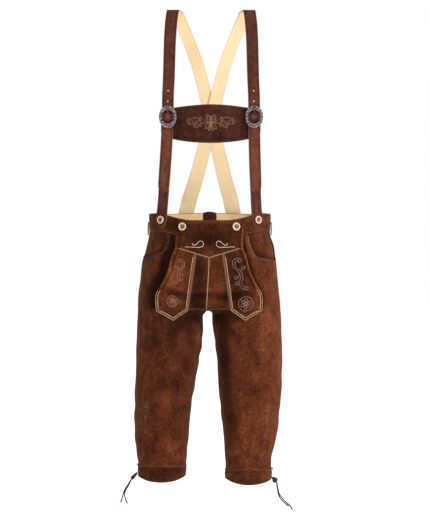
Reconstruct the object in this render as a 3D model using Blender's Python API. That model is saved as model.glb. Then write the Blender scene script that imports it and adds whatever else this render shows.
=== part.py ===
"""Knee-length leather trousers with a drop front and crossed braces, in the shape they take when worn.

Metres, +Z up, the front faces -Y, and left and right are the viewer's, seen from the front.  The origin
lies midway between the crowns of the two braces, where the shoulders carry them.  Everything is modelled
round the waist line and then hung SHOULDER_RISE below the origin; a "drop" is a depth below the waist line.
Every panel of the trousers is a wall on one surface, given by trouser_points, and each piece that lies on
a panel is made from the same surface, moved out along its normal.
"""
import math

import bmesh
import bpy
import numpy as np
from mathutils import Vector

# ---------------------------------------------------------------- driving dimensions
SEAM_GAP = 0.0003               # between the edges of two pieces that are sewn together
SHOULDER_RISE = 0.555           # from the waist line up to where the braces lie on the shoulders

LEATHER = 0.0016                # wall of the leg panels
WAISTBAND_HEIGHT = 0.048
WAISTBAND_OUT, WAISTBAND_IN = 0.0006, -0.0016
FACING_OUT, FACING_IN = -0.0022, -0.0032
FORK_DROP = 0.264               # level of the crotch
RISE_START = 0.174              # where the centre seams begin to curve under
RISE_POWER = 3.5
LOBE_START, LOBE_POWER = 0.050, 1.75    # where the section begins to part into two legs, and how fast
WEB_SOFTNESS = 0.06             # of the turn from a leg's round into the flat web between the legs
SADDLE_RISE = 0.014             # height over which the gap between the legs opens
WAIST_BOX, LEG_BOX = 0.055, 0.015   # how much the sections swell at their diagonals

# The trousers' sections.  "out" and "in" are the reach of the outer side and of the inner side of each leg
# from the middle of the body, "mid" is where the centre seam hangs, "front" and "back" are half depths.
SECTION_COLUMNS = ("drop", "mid", "out_left", "out_right", "in_left", "in_right", "front", "back")
SECTION_ROWS = [
    (0.000, 0.000, 0.1635, 0.1655, 0.012, 0.010, 0.112, 0.118),
    (0.050, 0.000, 0.164, 0.165, 0.012, 0.010, 0.115, 0.122),
    (0.092, 0.000, 0.172, 0.176, 0.012, 0.010, 0.119, 0.130),
    (0.136, -0.001, 0.183, 0.182, 0.012, 0.010, 0.121, 0.137),
    (0.200, -0.004, 0.190, 0.186, 0.012, 0.010, 0.119, 0.139),
    (0.264, -0.007, 0.195, 0.193, 0.012, 0.010, 0.109, 0.125),
    (0.278, -0.007, 0.196, 0.195, 0.0185, 0.006, 0.1065, 0.1215),
    (0.320, -0.007, 0.197, 0.1965, 0.0170, 0.011, 0.101, 0.112),
    (0.390, -0.007, 0.199, 0.197, 0.0275, 0.020, 0.094, 0.099),
    (0.470, -0.007, 0.2015, 0.195, 0.041, 0.025, 0.088, 0.088),
    (0.540, -0.007, 0.2035, 0.190, 0.051, 0.031, 0.081, 0.080),
    (0.600, -0.007, 0.203, 0.182, 0.056, 0.038, 0.074, 0.073),
    (0.645, -0.007, 0.199, 0.173, 0.060, 0.041, 0.069, 0.068),
    (0.680, -0.007, 0.194, 0.168, 0.064, 0.044, 0.066, 0.065),
    (0.730, -0.007, 0.193, 0.168, 0.066, 0.044, 0.065, 0.064),
]
SECTIONS = dict(zip(SECTION_COLUMNS, (np.array(column) for column in zip(*SECTION_ROWS))))

WAIST_DIP_FRONT = 0.0205        # how far the top edge is cut down at the front
WAIST_DIP_SIDE = 0.0005
WAIST_RISE_BACK = 0.0065        # how far it stands up at the back
DIP_FADE = 0.130                # drop below which the rows of a panel run level

POCKET_DROP = 0.076             # from the waistband seam down to the end of the pocket mouth
POCKET_TURN = 0.300             # share of the section from the side seam to the mouth's upper end
POCKET_POWER = 4.0              # of the mouth's curve, a rounded corner
POCKET_STEPS = (0.0, 12.0, 30.0, 50.0, 70.0, 82.0, 90.0)    # degrees round that corner, one for each row
POCKET_LAP = 0.014              # how far the facing runs on under the front panel
POCKET_FACING_OUT, POCKET_FACING_IN = -0.0040, -0.0052

GUSSET_HALF = 0.0195            # half width of the leather gusset at the centre back
GUSSET_ARCH, GUSSET_LAP = 0.004, 0.004  # how far it stands up in the middle, and reaches below the seam
NOTCH_TOP, NOTCH_BOTTOM = 0.013, 0.005  # half width of the notch in the waistband over it

# The knee bands, by side: drops of the top and bottom edge at the sides of the leg and at its front.
KNEE_BAND = {
    "left": dict(top_side=0.681, top_front=0.6735, bottom_side=0.710, bottom_front=0.7195),
    "right": dict(top_side=0.692, top_front=0.682, bottom_side=0.717, bottom_front=0.7265),
}
KNEE_BAND_OUT, KNEE_BAND_IN = 0.0009, -0.0015
KNEE_SLIT_HALF = 0.0015

# The drop front: its outer edge as (drop, half width), and the corners of its pieces.
FLAP_EDGE_COLUMNS = ("drop", "half_width")
FLAP_EDGE_ROWS = [
    (0.0245, 0.088), (0.094, 0.089), (0.118, 0.097), (0.148, 0.104),
    (0.180, 0.1175), (0.200, 0.129), (0.213, 0.1365), (0.230, 0.138), (0.259, 0.137),
]
FLAP_EDGE = dict(zip(FLAP_EDGE_COLUMNS, (np.array(column) for column in zip(*FLAP_EDGE_ROWS))))
FLAP_TOP, FLAP_CORNER = 0.0245, 0.010
YOKE_POINT, YOKE_ENDS = 0.121, 0.094    # drops of the yoke's lower edge, at the centre and at the sides
TONGUE_TOP_X, TONGUE_BOTTOM_X = 0.034, 0.056    # inner edge of a tongue
TONGUE_BOTTOM_DROP = 0.257
TONGUE_TIP_X, TONGUE_TIP_DROP = 0.095, 0.2845
FLY_BOTTOM = 0.256
FLY_DRIFT = -0.0075             # how far the fly's centre seam has wandered at its lower end
YOKE_IN, YOKE_OUT = 0.0010, 0.0026
FLY_IN, FLY_OUT = 0.0010, 0.0024
TONGUE_IN, TONGUE_OUT = 0.0014, 0.0030

# The route of one brace: half spread, depth and height above the waist of its inner side, its width, and
# the turn of its face away from the front.  It starts at the strap's tail in front, runs over the
# shoulder and ends on the other side of the back.
ROUTE_COLUMNS = ("spread", "depth", "height", "width", "turn")
ROUTE_ROWS = [
    (0.1210, -0.0985, 0.052, 0.0310, 26.0),
    (0.1190, -0.1070, 0.095, 0.0310, 12.0),
    (0.1170, -0.1125, 0.137, 0.0310, 4.0),
    (0.1150, -0.1190, 0.184, 0.0310, 0.0),
    (0.1130, -0.1240, 0.249, 0.0310, 0.0),
    (0.1125, -0.1245, 0.300, 0.0310, 0.0),
    (0.1105, -0.1190, 0.350, 0.0312, 0.0),
    (0.1095, -0.1060, 0.403, 0.0315, 0.0),
    (0.1090, -0.0910, 0.443, 0.0320, 0.0),
    (0.1080, -0.0700, 0.481, 0.0325, 0.0),
    (0.1060, -0.0410, 0.520, 0.0330, 0.0),
    (0.1020, -0.0080, 0.548, 0.0335, 0.0),
    (0.0950, 0.0250, 0.548, 0.0340, 0.0),
    (0.0840, 0.0550, 0.529, 0.0345, 0.0),
    (0.0700, 0.0800, 0.500, 0.0350, 0.0),
    (0.0570, 0.0960, 0.470, 0.0350, 0.0),
    (0.0420, 0.1080, 0.432, 0.0355, 0.0),
    (0.0267, 0.1160, 0.380, 0.0360, 0.0),
    (0.0000, 0.1210, 0.268, 0.0370, 0.0),
    (-0.0275, 0.1220, 0.156, 0.0395, 0.0),
    (-0.0416, 0.1205, 0.100, 0.0410, 0.0),
    (-0.0584, 0.1180, 0.043, 0.0425, 0.0),
]
ROUTE = dict(zip(ROUTE_COLUMNS, (np.array(column) for column in zip(*ROUTE_ROWS))))
BRACE_LEAN = 0.0045             # how far the braces stand to the right, reached at the buckles
TAIL_TIP = 0.014                # length of the pointed end of the strap's tail
BRACE_END_DROPS = (-0.008, 0.012, 0.036)
BRACE_END_SPREADS = (0.0655, 0.0700, 0.0745)
LINING_IN, LINING_OUT = 0.0023, 0.0033
LINING_SET_BACK = 0.0006        # how far its edges lie inside the strap's
STRAP_IN, STRAP_OUT = 0.0036, 0.0050
CROSS_HEIGHT, CROSS_HALF, CROSS_FADE, CROSS_LIFT = 0.268, 0.097, 0.060, 0.0017

TAB_THICKNESS = 0.0020
TAB_WIDTH = 0.0305
TAB_SPREAD = 0.1268             # of the tab's button
TAB_DROPS = (0.0415, 0.0360, 0.0270, 0.0150, 0.0000)
TAB_HALF_WIDTHS = (0.0045, 0.0125, 0.0175, 0.0185, 0.0175)
TAB_SPREADS = (0.1325, 0.1308, 0.1285, 0.1265, 0.1245)
TAB_TOP = 0.262

BUCKLE_HEIGHT = 0.249
BUCKLE_HALF_WIDTH, BUCKLE_HALF_HEIGHT = 0.0200, 0.0265
BUCKLE_RIM, BUCKLE_THICKNESS = 0.0034, 0.0018   # half width and half thickness of the frame
BUCKLE_CROWN = 0.0078           # how far the frame's ends stand out from the tab's inner side
BUCKLE_DISH = 0.0015            # how much its sides lie deeper
BAR_RADIUS = 0.0014
BAR_OUT = 0.0039
STRAP_BULGE, BULGE_HALF = 0.0034, 0.013         # rise of the strap over the buckle's bar
PRONG_RADIUS = 0.0011
PRONG_LIFT = 0.0024             # of its middle above the strap, where it comes out of the hole

CHEST_HALF_LENGTH = 0.1335
CHEST_TOP, CHEST_TOP_END = 0.2810, 0.2680
CHEST_BOTTOM, CHEST_BOTTOM_END = 0.1805, 0.1995
CHEST_CORNER = 0.012
CHEST_BOW, CHEST_BOW_HALF = 0.012, 0.094
CHEST_THICKNESS = 0.0020

BUTTON_RADIUS, BUTTON_THICKNESS = 0.0105, 0.0038
FLAP_BUTTON_X, FLAP_BUTTON_DROP = 0.0702, 0.0375
TAB_BUTTON_DROP = 0.0185

LOOP_TOP, LOOP_BOTTOM = 0.022, 0.058
LOOP_WIDTH, LOOP_THICKNESS, LOOP_STAND = 0.010, 0.0014, 0.0027
LOOP_TURNS = {"belt_loop_side": 0.485, "belt_loop_back": 0.80}

LACE_DIAMETER = 0.0030
# The knee laces, as points of (sideways, depth, drop) from the slit outwards.
KNOTS = {
    "left": [(-0.1960, -0.0020, 0.7030), (-0.2010, -0.0030, 0.7080), (-0.2060, -0.0035, 0.7135),
             (-0.2115, -0.0035, 0.7195)],
    "right": [(0.1709, -0.0020, 0.7153), (0.1745, -0.0030, 0.7195), (0.1785, -0.0035, 0.7240),
              (0.1820, -0.0035, 0.7280)],
}
KNOT_RADII = {"left": (0.0026, 0.0038, 0.0046, 0.0054), "right": (0.0024, 0.0052, 0.0074, 0.0046)}
STRANDS = {
    "left_a": [(-0.2119, -0.0058, 0.7205), (-0.2147, -0.0060, 0.7270), (-0.2187, -0.0062, 0.7360),
               (-0.2247, -0.0060, 0.7455), (-0.2290, -0.0058, 0.7540), (-0.2305, -0.0062, 0.7630),
               (-0.2278, -0.0068, 0.7740), (-0.2225, -0.0074, 0.7870)],
    "left_b": [(-0.2118, -0.0014, 0.7203), (-0.2158, -0.0010, 0.7265), (-0.2208, -0.0006, 0.7350),
               (-0.2272, -0.0004, 0.7445), (-0.2322, -0.0002, 0.7540), (-0.2352, 0.0000, 0.7640),
               (-0.2380, 0.0004, 0.7745), (-0.2425, 0.0010, 0.7860)],
    "right_a": [(0.1829, -0.0058, 0.7293), (0.1841, -0.0060, 0.7360), (0.1858, -0.0062, 0.7450),
                (0.1885, -0.0062, 0.7570), (0.1943, -0.0060, 0.7675), (0.2026, -0.0060, 0.7775),
                (0.2125, -0.0062, 0.7865), (0.2212, -0.0064, 0.7955), (0.2255, -0.0066, 0.8040)],
    "right_b": [(0.1826, -0.0014, 0.7294), (0.1832, -0.0008, 0.7370), (0.1844, -0.0006, 0.7460),
                (0.1866, -0.0004, 0.7590), (0.1907, -0.0002, 0.7700), (0.1982, 0.0000, 0.7800),
                (0.2075, 0.0002, 0.7885), (0.2160, 0.0004, 0.7955)],
}

# Mesh fineness.
PANEL_COLUMNS = 9
SIDE_ROWS_BELOW_POCKET = 15
STATION, FINE_STATION = 0.0210, 0.0045   # along the braces
RING_STEPS, TUBE_STEPS = 28, 8
BUTTON_STEPS = 16
DIAGONAL_BIAS = 0.9             # a cell is cut the other way when that diagonal is this much shorter
SMALL_STEP = 1e-4               # for slopes by differences

COLOURS = {                     # base colour, roughness, metallic
    "suede": ((0.105, 0.032, 0.015), 0.92, 0.0),
    "dark_suede": ((0.055, 0.018, 0.010), 0.90, 0.0),
    "lining": ((0.78, 0.60, 0.34), 0.80, 0.0),
    "pewter": ((0.30, 0.30, 0.32), 0.42, 1.0),
    "horn": ((0.72, 0.58, 0.44), 0.40, 0.0),
    "thong": ((0.06, 0.032, 0.030), 0.75, 0.0),
}


# ---------------------------------------------------------------- scene helpers
def clear_scene():
    """Remove every object of the file that the script is run in."""
    for obj in list(bpy.data.objects):
        bpy.data.objects.remove(obj, do_unlink=True)


def make_materials():
    """One Principled BSDF material for each entry of COLOURS."""
    materials = {}
    for name, (colour, roughness, metallic) in COLOURS.items():
        material = bpy.data.materials.new(name)
        material.use_nodes = True
        shader = material.node_tree.nodes["Principled BSDF"]
        shader.inputs["Base Color"].default_value = (*colour, 1.0)
        shader.inputs["Roughness"].default_value = roughness
        shader.inputs["Metallic"].default_value = metallic
        materials[name] = material
    return materials


def add_mesh(name, points, faces, material, waist):
    """An object with the given closed mesh, its faces pointing out, hung from the waist."""
    mesh = bpy.data.meshes.new(name)
    mesh.from_pydata([tuple(point) for point in points], [], faces)
    body = bmesh.new()
    body.from_mesh(mesh)
    bmesh.ops.recalc_face_normals(body, faces=body.faces)
    body.to_mesh(mesh)
    body.free()
    mesh.shade_smooth()
    mesh.set_sharp_from_angle(angle=math.radians(40.0))
    mesh.materials.append(material)
    obj = bpy.data.objects.new(name, mesh)
    bpy.context.scene.collection.objects.link(obj)
    obj.parent = waist
    return obj


def wall(name, outer, inner, material, waist):
    """A closed wall between two grids of points with the same rows and columns.

    Both faces of the wall are cut along the same diagonals, the shorter one where a cell is skewed.
    """
    rows, columns = outer.shape[:2]
    count = rows * columns
    points = np.concatenate([outer.reshape(-1, 3), inner.reshape(-1, 3)])
    faces = []
    for row in range(rows - 1):
        for column in range(columns - 1):
            first = row * columns + column
            corners = (first, first + 1, first + columns + 1, first + columns)
            falling = np.linalg.norm(points[corners[2]] - points[corners[0]])
            rising = np.linalg.norm(points[corners[3]] - points[corners[1]])
            start = 1 if rising < DIAGONAL_BIAS * falling else 0
            corners = corners[start:] + corners[:start]
            for triangle in (corners[:3], (corners[0], corners[2], corners[3])):
                faces.append(triangle)
                faces.append(tuple(count + index for index in reversed(triangle)))
    border = [column for column in range(columns)]
    border += [row * columns + columns - 1 for row in range(1, rows)]
    border += [(rows - 1) * columns + column for column in range(columns - 2, -1, -1)]
    border += [row * columns for row in range(rows - 2, 0, -1)]
    for here, there in zip(border, border[1:] + border[:1]):
        faces.append((here, count + here, count + there, there))
    return add_mesh(name, points, faces, material, waist)


def smooth_step(value):
    """0 below 0, 1 above 1, and a soft S between them."""
    value = np.clip(value, 0.0, 1.0)
    return value * value * (3.0 - 2.0 * value)


def curve_through(where, knots, values):
    """A cubic curve through the knots whose slopes are limited so that it never overshoots them."""
    widths = np.diff(knots)
    rises = np.diff(values) / widths
    slopes = np.zeros(len(knots))
    slopes[0], slopes[-1] = rises[0], rises[-1]
    before, after = rises[:-1], rises[1:]
    same_way = before * after > 0.0
    safe_before = np.where(same_way, before, 1.0)
    safe_after = np.where(same_way, after, 1.0)
    weight_before = 2.0 * widths[1:] + widths[:-1]
    weight_after = widths[1:] + 2.0 * widths[:-1]
    mean = (weight_before + weight_after) / (weight_before / safe_before + weight_after / safe_after)
    slopes[1:-1] = np.where(same_way, mean, 0.0)
    where = np.clip(where, knots[0], knots[-1])
    index = np.clip(np.searchsorted(knots, where, side="right") - 1, 0, len(widths) - 1)
    width = widths[index]
    part = (where - knots[index]) / width
    other = 1.0 - part
    return (values[index] * other * other * (1.0 + 2.0 * part)
            + values[index + 1] * part * part * (1.0 + 2.0 * other)
            + width * part * other * (slopes[index] * other - slopes[index + 1] * part))


# ---------------------------------------------------------------- the surface of the trousers
def side_sign(side):
    """-1 for the viewer's left and +1 for the right."""
    return -1.0 if side == "left" else 1.0


def section(side, drop):
    """The leg's section at each drop: its middle, centre, half width, depths, box, start and web."""
    sign = side_sign(side)
    column = {name: curve_through(drop, SECTIONS["drop"], SECTIONS[name]) for name in SECTION_COLUMNS[1:]}
    mid = column["mid"]
    reach = column["out_" + side] - sign * mid
    box = LEG_BOX + (WAIST_BOX - LEG_BOX) * (1.0 - smooth_step(drop / FORK_DROP))
    parting = np.clip((drop - LOBE_START) / (FORK_DROP - LOBE_START), 0.0, 1.0)
    start = np.arccos(parting ** LOBE_POWER)
    share = np.cos(start) * (1.0 + box * np.sin(2.0 * start) ** 2)
    over = -reach * (1.0 - share) / (1.0 + share)
    opening = np.clip((drop - FORK_DROP) / SADDLE_RISE, 0.0, 1.0)
    gap = (column["in_" + side] - sign * mid) * np.sqrt(1.0 - (1.0 - opening) ** 2)
    inner = np.where(drop < FORK_DROP, over, gap)
    below = np.clip((drop - RISE_START) / (FORK_DROP - RISE_START), 0.0, 1.0)
    web = (1.0 - below ** RISE_POWER) ** (1.0 / RISE_POWER)
    return dict(mid=mid, centre=(inner + reach) / 2.0, half=(reach - inner) / 2.0,
                front=column["front"], back=column["back"], box=box, start=start, web=web)


def trouser_points(side, turn, drop):
    """Points on the outer face of one side of the trousers.

    turn is the share of the way round the section: 0 at the inner edge, 0.25 about at the front, 0.5 at
    the side seam, 1 at the inner edge again.  Below the fork the section is the leg's whole ellipse, which
    swells a little at its diagonals.  Above it the middle plane cuts the ellipse off, so the section
    starts at an angle, and a flat web, which curves under at the crotch, spans the hollow between the legs.
    """
    turn, drop = np.broadcast_arrays(np.asarray(turn, float), np.asarray(drop, float))
    cut = section(side, drop)
    angle = cut["start"] + (2.0 * math.pi - 2.0 * cut["start"]) * turn
    swell = 1.0 + cut["box"] * np.sin(2.0 * angle) ** 2
    across = cut["mid"] + side_sign(side) * (cut["centre"] - cut["half"] * np.cos(angle) * swell)
    depth = np.where(np.sin(angle) > 0.0, cut["front"], cut["back"])
    round_part = np.abs(np.sin(angle)) * swell
    bridged = (round_part + cut["web"] + np.hypot(round_part - cut["web"], WEB_SOFTNESS)) / 2.0
    bridges = (np.cos(angle) > 0.0) & (drop < FORK_DROP)
    reached = np.where(bridges, np.minimum(bridged, np.maximum(round_part, 1.0)), round_part)
    return np.stack([across, -depth * reached * np.sign(np.sin(angle)), -drop], axis=-1)


def unit(vectors):
    """The vectors scaled to length 1."""
    return vectors / np.linalg.norm(vectors, axis=-1, keepdims=True)


def trouser_normals(side, turn, drop):
    """Outward normals of trouser_points, from differences along both parameters."""
    drop = np.asarray(drop, float)
    along = trouser_points(side, turn + SMALL_STEP, drop) - trouser_points(side, turn - SMALL_STEP, drop)
    down = trouser_points(side, turn, drop + SMALL_STEP) - trouser_points(side, turn, drop - SMALL_STEP)
    return unit(np.cross(along, down)) * -side_sign(side)


def seam_turn(side, turn, drop):
    """How much turn half a seam gap takes at a place of the section."""
    along = trouser_points(side, turn + SMALL_STEP, drop) - trouser_points(side, turn - SMALL_STEP, drop)
    return SEAM_GAP / 2.0 / (np.linalg.norm(along, axis=-1) / (2.0 * SMALL_STEP))


def waist_dip(turn):
    """How far the top edge lies below the waist line at each turn."""
    front = (WAIST_DIP_FRONT - WAIST_DIP_SIDE) * (1.0 - smooth_step((turn - 0.08) / 0.23))
    back = (WAIST_DIP_SIDE + WAIST_RISE_BACK) * smooth_step((turn - 0.58) / 0.40)
    return WAIST_DIP_SIDE + front - back


def dipped(turn, level):
    """The drop of a row that follows the waist's top edge and runs level further down."""
    return level + waist_dip(turn) * (1.0 - smooth_step(level / DIP_FADE))


def trouser_wall(name, side, turn, drop, outside, inside, material, waist, keep_to_side=False):
    """A wall between two offsets from the trousers' surface, on a grid of turns and drops."""
    points = trouser_points(side, turn, drop)
    normals = trouser_normals(side, turn, drop)
    outer = points + normals * outside
    inner = points + normals * inside
    if keep_to_side:
        sign = side_sign(side)
        middle = section(side, drop)["mid"]
        for grid in (outer, inner):
            grid[..., 0] = middle + sign * np.maximum(sign * (grid[..., 0] - middle), SEAM_GAP / 2.0)
    return wall(name, outer, inner, material, waist)


def knee_edge(side, turn, which):
    """Drop of a knee band's top or bottom edge: it swings between its side and its front value."""
    band = KNEE_BAND[side]
    share = np.sin(2.0 * math.pi * turn) ** 2
    return band[which + "_side"] + (band[which + "_front"] - band[which + "_side"]) * share


# ---------------------------------------------------------------- trousers
def panel_rows(side):
    """Drops of a leg panel's rows along its inner edge and along the side seam."""
    rise = np.array([0.93, 0.80, 0.60, 0.35, 0.0])
    fork = RISE_START + (FORK_DROP - RISE_START) * (1.0 - rise ** RISE_POWER) ** (1.0 / RISE_POWER)
    opening = FORK_DROP + SADDLE_RISE * (1.0 - np.cos(np.radians([30.0, 60.0, 90.0])))
    seat = np.linspace(WAISTBAND_HEIGHT, 0.200, 6)
    end = knee_edge(side, 0.0, "top") - SEAM_GAP
    inseam = np.linspace(0.302, end, 8)
    inner = np.concatenate([seat, fork, opening, inseam])
    along_mouth = np.sin(np.radians(POCKET_STEPS)) ** (2.0 / POCKET_POWER)
    pocket = WAISTBAND_HEIGHT + POCKET_DROP * along_mouth
    below = np.linspace(WAISTBAND_HEIGHT + POCKET_DROP, end, SIDE_ROWS_BELOW_POCKET + 1)[1:]
    return inner, np.concatenate([pocket, below])


def pocket_mouth_turn(level):
    """Turn of the front panel's outer edge: a round corner at the pocket, then the side seam."""
    part = np.clip((level - WAISTBAND_HEIGHT) / POCKET_DROP, 0.0, 1.0)
    return 0.5 - POCKET_TURN * (1.0 - part ** POCKET_POWER) ** (1.0 / POCKET_POWER)


def panel_grid(side, half):
    """Turns and drops of the front or the back leg panel of one side."""
    inner_level, side_level = panel_rows(side)
    share = np.linspace(0.0, 1.0, PANEL_COLUMNS)[None, :]
    if half == "front":
        edge = pocket_mouth_turn(side_level)[:, None]
        turn = share * edge
    else:
        turn = 1.0 - share * 0.5
    towards_inner = np.cos(math.pi * turn) ** 2
    level = side_level[:, None] + (inner_level - side_level)[:, None] * towards_inner
    drop = dipped(turn, level + SEAM_GAP * (level <= WAISTBAND_HEIGHT))
    bottom = knee_edge(side, turn, "top") - SEAM_GAP
    drop[-1] = np.broadcast_to(bottom, drop.shape)[-1]
    inner_gap = seam_turn(side, np.round(turn[:, :1]), drop[:, :1])
    side_gap = seam_turn(side, turn[:, -1:], drop[:, -1:])
    inwards = 1.0 if half == "front" else -1.0
    turn = turn + inwards * (inner_gap * (share == 0.0) - side_gap * (share == 1.0))
    return turn, drop


def make_leg_panels(materials, waist):
    """The two front and the two back panels, each from the waistband to the knee band."""
    for side in ("left", "right"):
        for half in ("front", "back"):
            turn, drop = panel_grid(side, half)
            trouser_wall(f"{half}_panel_{side}", side, turn, drop, 0.0, -LEATHER,
                         materials["suede"], waist, keep_to_side=True)


def make_pocket_facings(materials, waist):
    """The leather behind each pocket mouth, which runs on under the front panel's edge."""
    for side in ("left", "right"):
        lap = POCKET_LAP / 0.5
        turn = np.linspace(0.5 - POCKET_TURN - lap, 0.5, 9)[None, :]
        level = np.linspace(WAISTBAND_HEIGHT - 0.006, WAISTBAND_HEIGHT + POCKET_DROP + POCKET_LAP, 6)
        turn, level = np.broadcast_arrays(turn, level[:, None])
        trouser_wall(f"pocket_facing_{side}", side, turn, dipped(turn, level),
                     POCKET_FACING_OUT, POCKET_FACING_IN, materials["dark_suede"], waist)


def turn_from_centre_back(side, distance, drop):
    """The turn that lies a distance along the section from the centre back."""
    step = seam_turn(side, 0.999, drop) / (SEAM_GAP / 2.0)
    return 1.0 - distance * step


def make_waistband(materials, waist):
    """Four lengths of waistband, a pale facing inside the back ones and the gusset between them."""
    share = np.linspace(0.0, 1.0, 12)[None, :]
    level = np.linspace(0.0, WAISTBAND_HEIGHT, 4)[:, None]
    part = level / WAISTBAND_HEIGHT
    for side in ("left", "right"):
        gap = seam_turn(side, 0.0, 0.02)
        turn = gap + (0.5 - 2.0 * gap) * share
        turn, rows = np.broadcast_arrays(turn, level)
        trouser_wall(f"waistband_front_{side}", side, turn, dipped(turn, rows),
                     WAISTBAND_OUT, WAISTBAND_IN, materials["dark_suede"], waist, keep_to_side=True)
        notch = NOTCH_TOP + (NOTCH_BOTTOM - NOTCH_TOP) * part
        end = turn_from_centre_back(side, notch, level)
        turn = 0.5 + gap + (end - 0.5 - gap) * share
        turn, rows = np.broadcast_arrays(turn, level)
        trouser_wall(f"waistband_back_{side}", side, turn, dipped(turn, rows),
                     WAISTBAND_OUT, WAISTBAND_IN, materials["dark_suede"], waist)
        end = turn_from_centre_back(side, GUSSET_HALF + SEAM_GAP, level)
        turn = 0.505 + (end - 0.505) * share
        turn, rows = np.broadcast_arrays(turn, level)
        trouser_wall(f"waistband_facing_{side}", side, turn, dipped(turn, rows + 0.0012 * (1.0 - part)),
                     FACING_OUT, FACING_IN, materials["lining"], waist)
    make_gusset(materials, waist)


def make_gusset(materials, waist):
    """The leather gusset at the centre back: it lies inside the waistband and its top edge is arched."""
    across = np.linspace(-1.0, 1.0, 9)
    part = np.linspace(0.0, 1.0, 4)
    points, normals = [], []
    for share in across:
        side = "left" if share < 0.0 else "right"
        top = -WAIST_RISE_BACK - GUSSET_ARCH * (1.0 - share ** 2)
        drop = top + (WAISTBAND_HEIGHT + GUSSET_LAP - top) * part
        turn = turn_from_centre_back(side, GUSSET_HALF * abs(share), drop)
        points.append(trouser_points(side, turn, drop))
        normal = trouser_normals(side, turn, drop)
        if share == 0.0:
            normal[:, 0] = 0.0
        normals.append(unit(normal))
    points, normals = np.stack(points, axis=1), np.stack(normals, axis=1)
    wall("back_gusset", points + normals * FACING_OUT, points + normals * (FACING_IN - 0.0002),
         materials["dark_suede"], waist)


def make_knee_bands(materials, waist):
    """A band round the end of each leg, with a slit at its outer side."""
    for side in ("left", "right"):
        level = 0.70
        slit = KNEE_SLIT_HALF / SEAM_GAP * 2.0 * seam_turn(side, 0.5, level)
        turn = np.linspace(0.5, 1.5, 2 * PANEL_COLUMNS - 1)[None, :].copy()
        turn[:, 0] += slit
        turn[:, -1] -= slit
        part = np.linspace(0.0, 1.0, 3)[:, None]
        top, bottom = knee_edge(side, turn, "top"), knee_edge(side, turn, "bottom")
        drop = top + (bottom - top) * part
        turn = np.broadcast_to(turn, drop.shape)
        trouser_wall(f"knee_band_{side}", side, turn, drop, KNEE_BAND_OUT, KNEE_BAND_IN,
                     materials["dark_suede"], waist)


def make_belt_loops(materials, waist):
    """Four narrow loops that stand off the waistband in a low arch."""
    for side in ("left", "right"):
        for name, centre in LOOP_TURNS.items():
            half = LOOP_WIDTH / 2.0 / SEAM_GAP * 2.0 * seam_turn(side, centre, 0.04)
            turn = np.array([centre - half, centre, centre + half])[None, :]
            part = np.linspace(0.0, 1.0, 9)[:, None]
            turn, part = np.broadcast_arrays(turn, part)
            drop = waist_dip(turn) + LOOP_TOP + (LOOP_BOTTOM - LOOP_TOP) * part
            stand = 0.0009 + LOOP_STAND * np.sin(math.pi * part)[..., None] ** 2
            points, normals = trouser_points(side, turn, drop), trouser_normals(side, turn, drop)
            wall(f"{name}_{side}", points + normals * (stand + LOOP_THICKNESS), points + normals * stand,
                 materials["dark_suede"], waist)


# ---------------------------------------------------------------- drop front
def front_depth(across, drop):
    """y of the drop front: the front of the trousers, but bridging the hollow over the centre seam."""
    depths = []
    for side in ("left", "right"):
        cut = section(side, drop)
        offset = side_sign(side) * (across - cut["mid"])
        wanted = np.clip((offset - cut["centre"]) / cut["half"], 0.0, 0.999)
        low, high = np.full(wanted.shape, math.pi / 2.0), np.full(wanted.shape, math.pi)
        for _ in range(40):
            middle = (low + high) / 2.0
            reached = -np.cos(middle) * (1.0 + cut["box"] * np.sin(2.0 * middle) ** 2)
            low = np.where(reached < wanted, middle, low)
            high = np.where(reached < wanted, high, middle)
        swell = 1.0 + cut["box"] * np.sin(2.0 * low) ** 2
        depths.append((offset >= 0.0, -cut["front"] * np.sin(low) * swell))
    return np.where(depths[0][0], depths[0][1], depths[1][1])


def front_wall(name, across, drop, inside, outside, material, waist):
    """A wall of the drop front, on a grid of places given by their side position and drop."""
    points = np.stack([across, front_depth(across, drop), -drop], axis=-1)
    slope_x = (front_depth(across + SMALL_STEP, drop) - front_depth(across - SMALL_STEP, drop))
    slope_z = (front_depth(across, drop - SMALL_STEP) - front_depth(across, drop + SMALL_STEP))
    steps = 2.0 * SMALL_STEP
    normals = unit(np.stack([slope_x / steps, -np.ones_like(across), slope_z / steps], axis=-1))
    return wall(name, points + normals * outside, points + normals * inside, material, waist)


def yoke_edge(across):
    """Drop of the yoke's lower edge, a shallow V."""
    return YOKE_POINT + (YOKE_ENDS - YOKE_POINT) * np.abs(across) / FLAP_EDGE["half_width"][1]


def tongue_inner_edge(drop):
    """Side position of a tongue's inner edge."""
    top = yoke_edge(TONGUE_TOP_X)
    part = (drop - top) / (TONGUE_BOTTOM_DROP - top)
    return TONGUE_TOP_X + (TONGUE_BOTTOM_X - TONGUE_TOP_X) * part


def make_drop_front(materials, waist):
    """The yoke, the two gores of the fly and the two pointed tongues that hang beside them."""
    width = FLAP_EDGE["half_width"][0]
    across = width * np.sin(np.linspace(-math.pi / 2.0, math.pi / 2.0, 15))[None, :]
    corner = np.clip(np.abs(across) - (width - FLAP_CORNER), 0.0, FLAP_CORNER)
    top = FLAP_TOP + FLAP_CORNER - np.sqrt(FLAP_CORNER ** 2 - corner ** 2)
    part = np.linspace(0.0, 1.0, 6)[:, None]
    drop = top + (yoke_edge(across) - SEAM_GAP - top) * part
    across = np.broadcast_to(across, drop.shape)
    front_wall("flap_yoke", across, drop, YOKE_IN, YOKE_OUT, materials["suede"], waist)
    for side in ("left", "right"):
        make_fly_gore(side, materials, waist)
        make_tongue(side, materials, waist)


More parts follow.
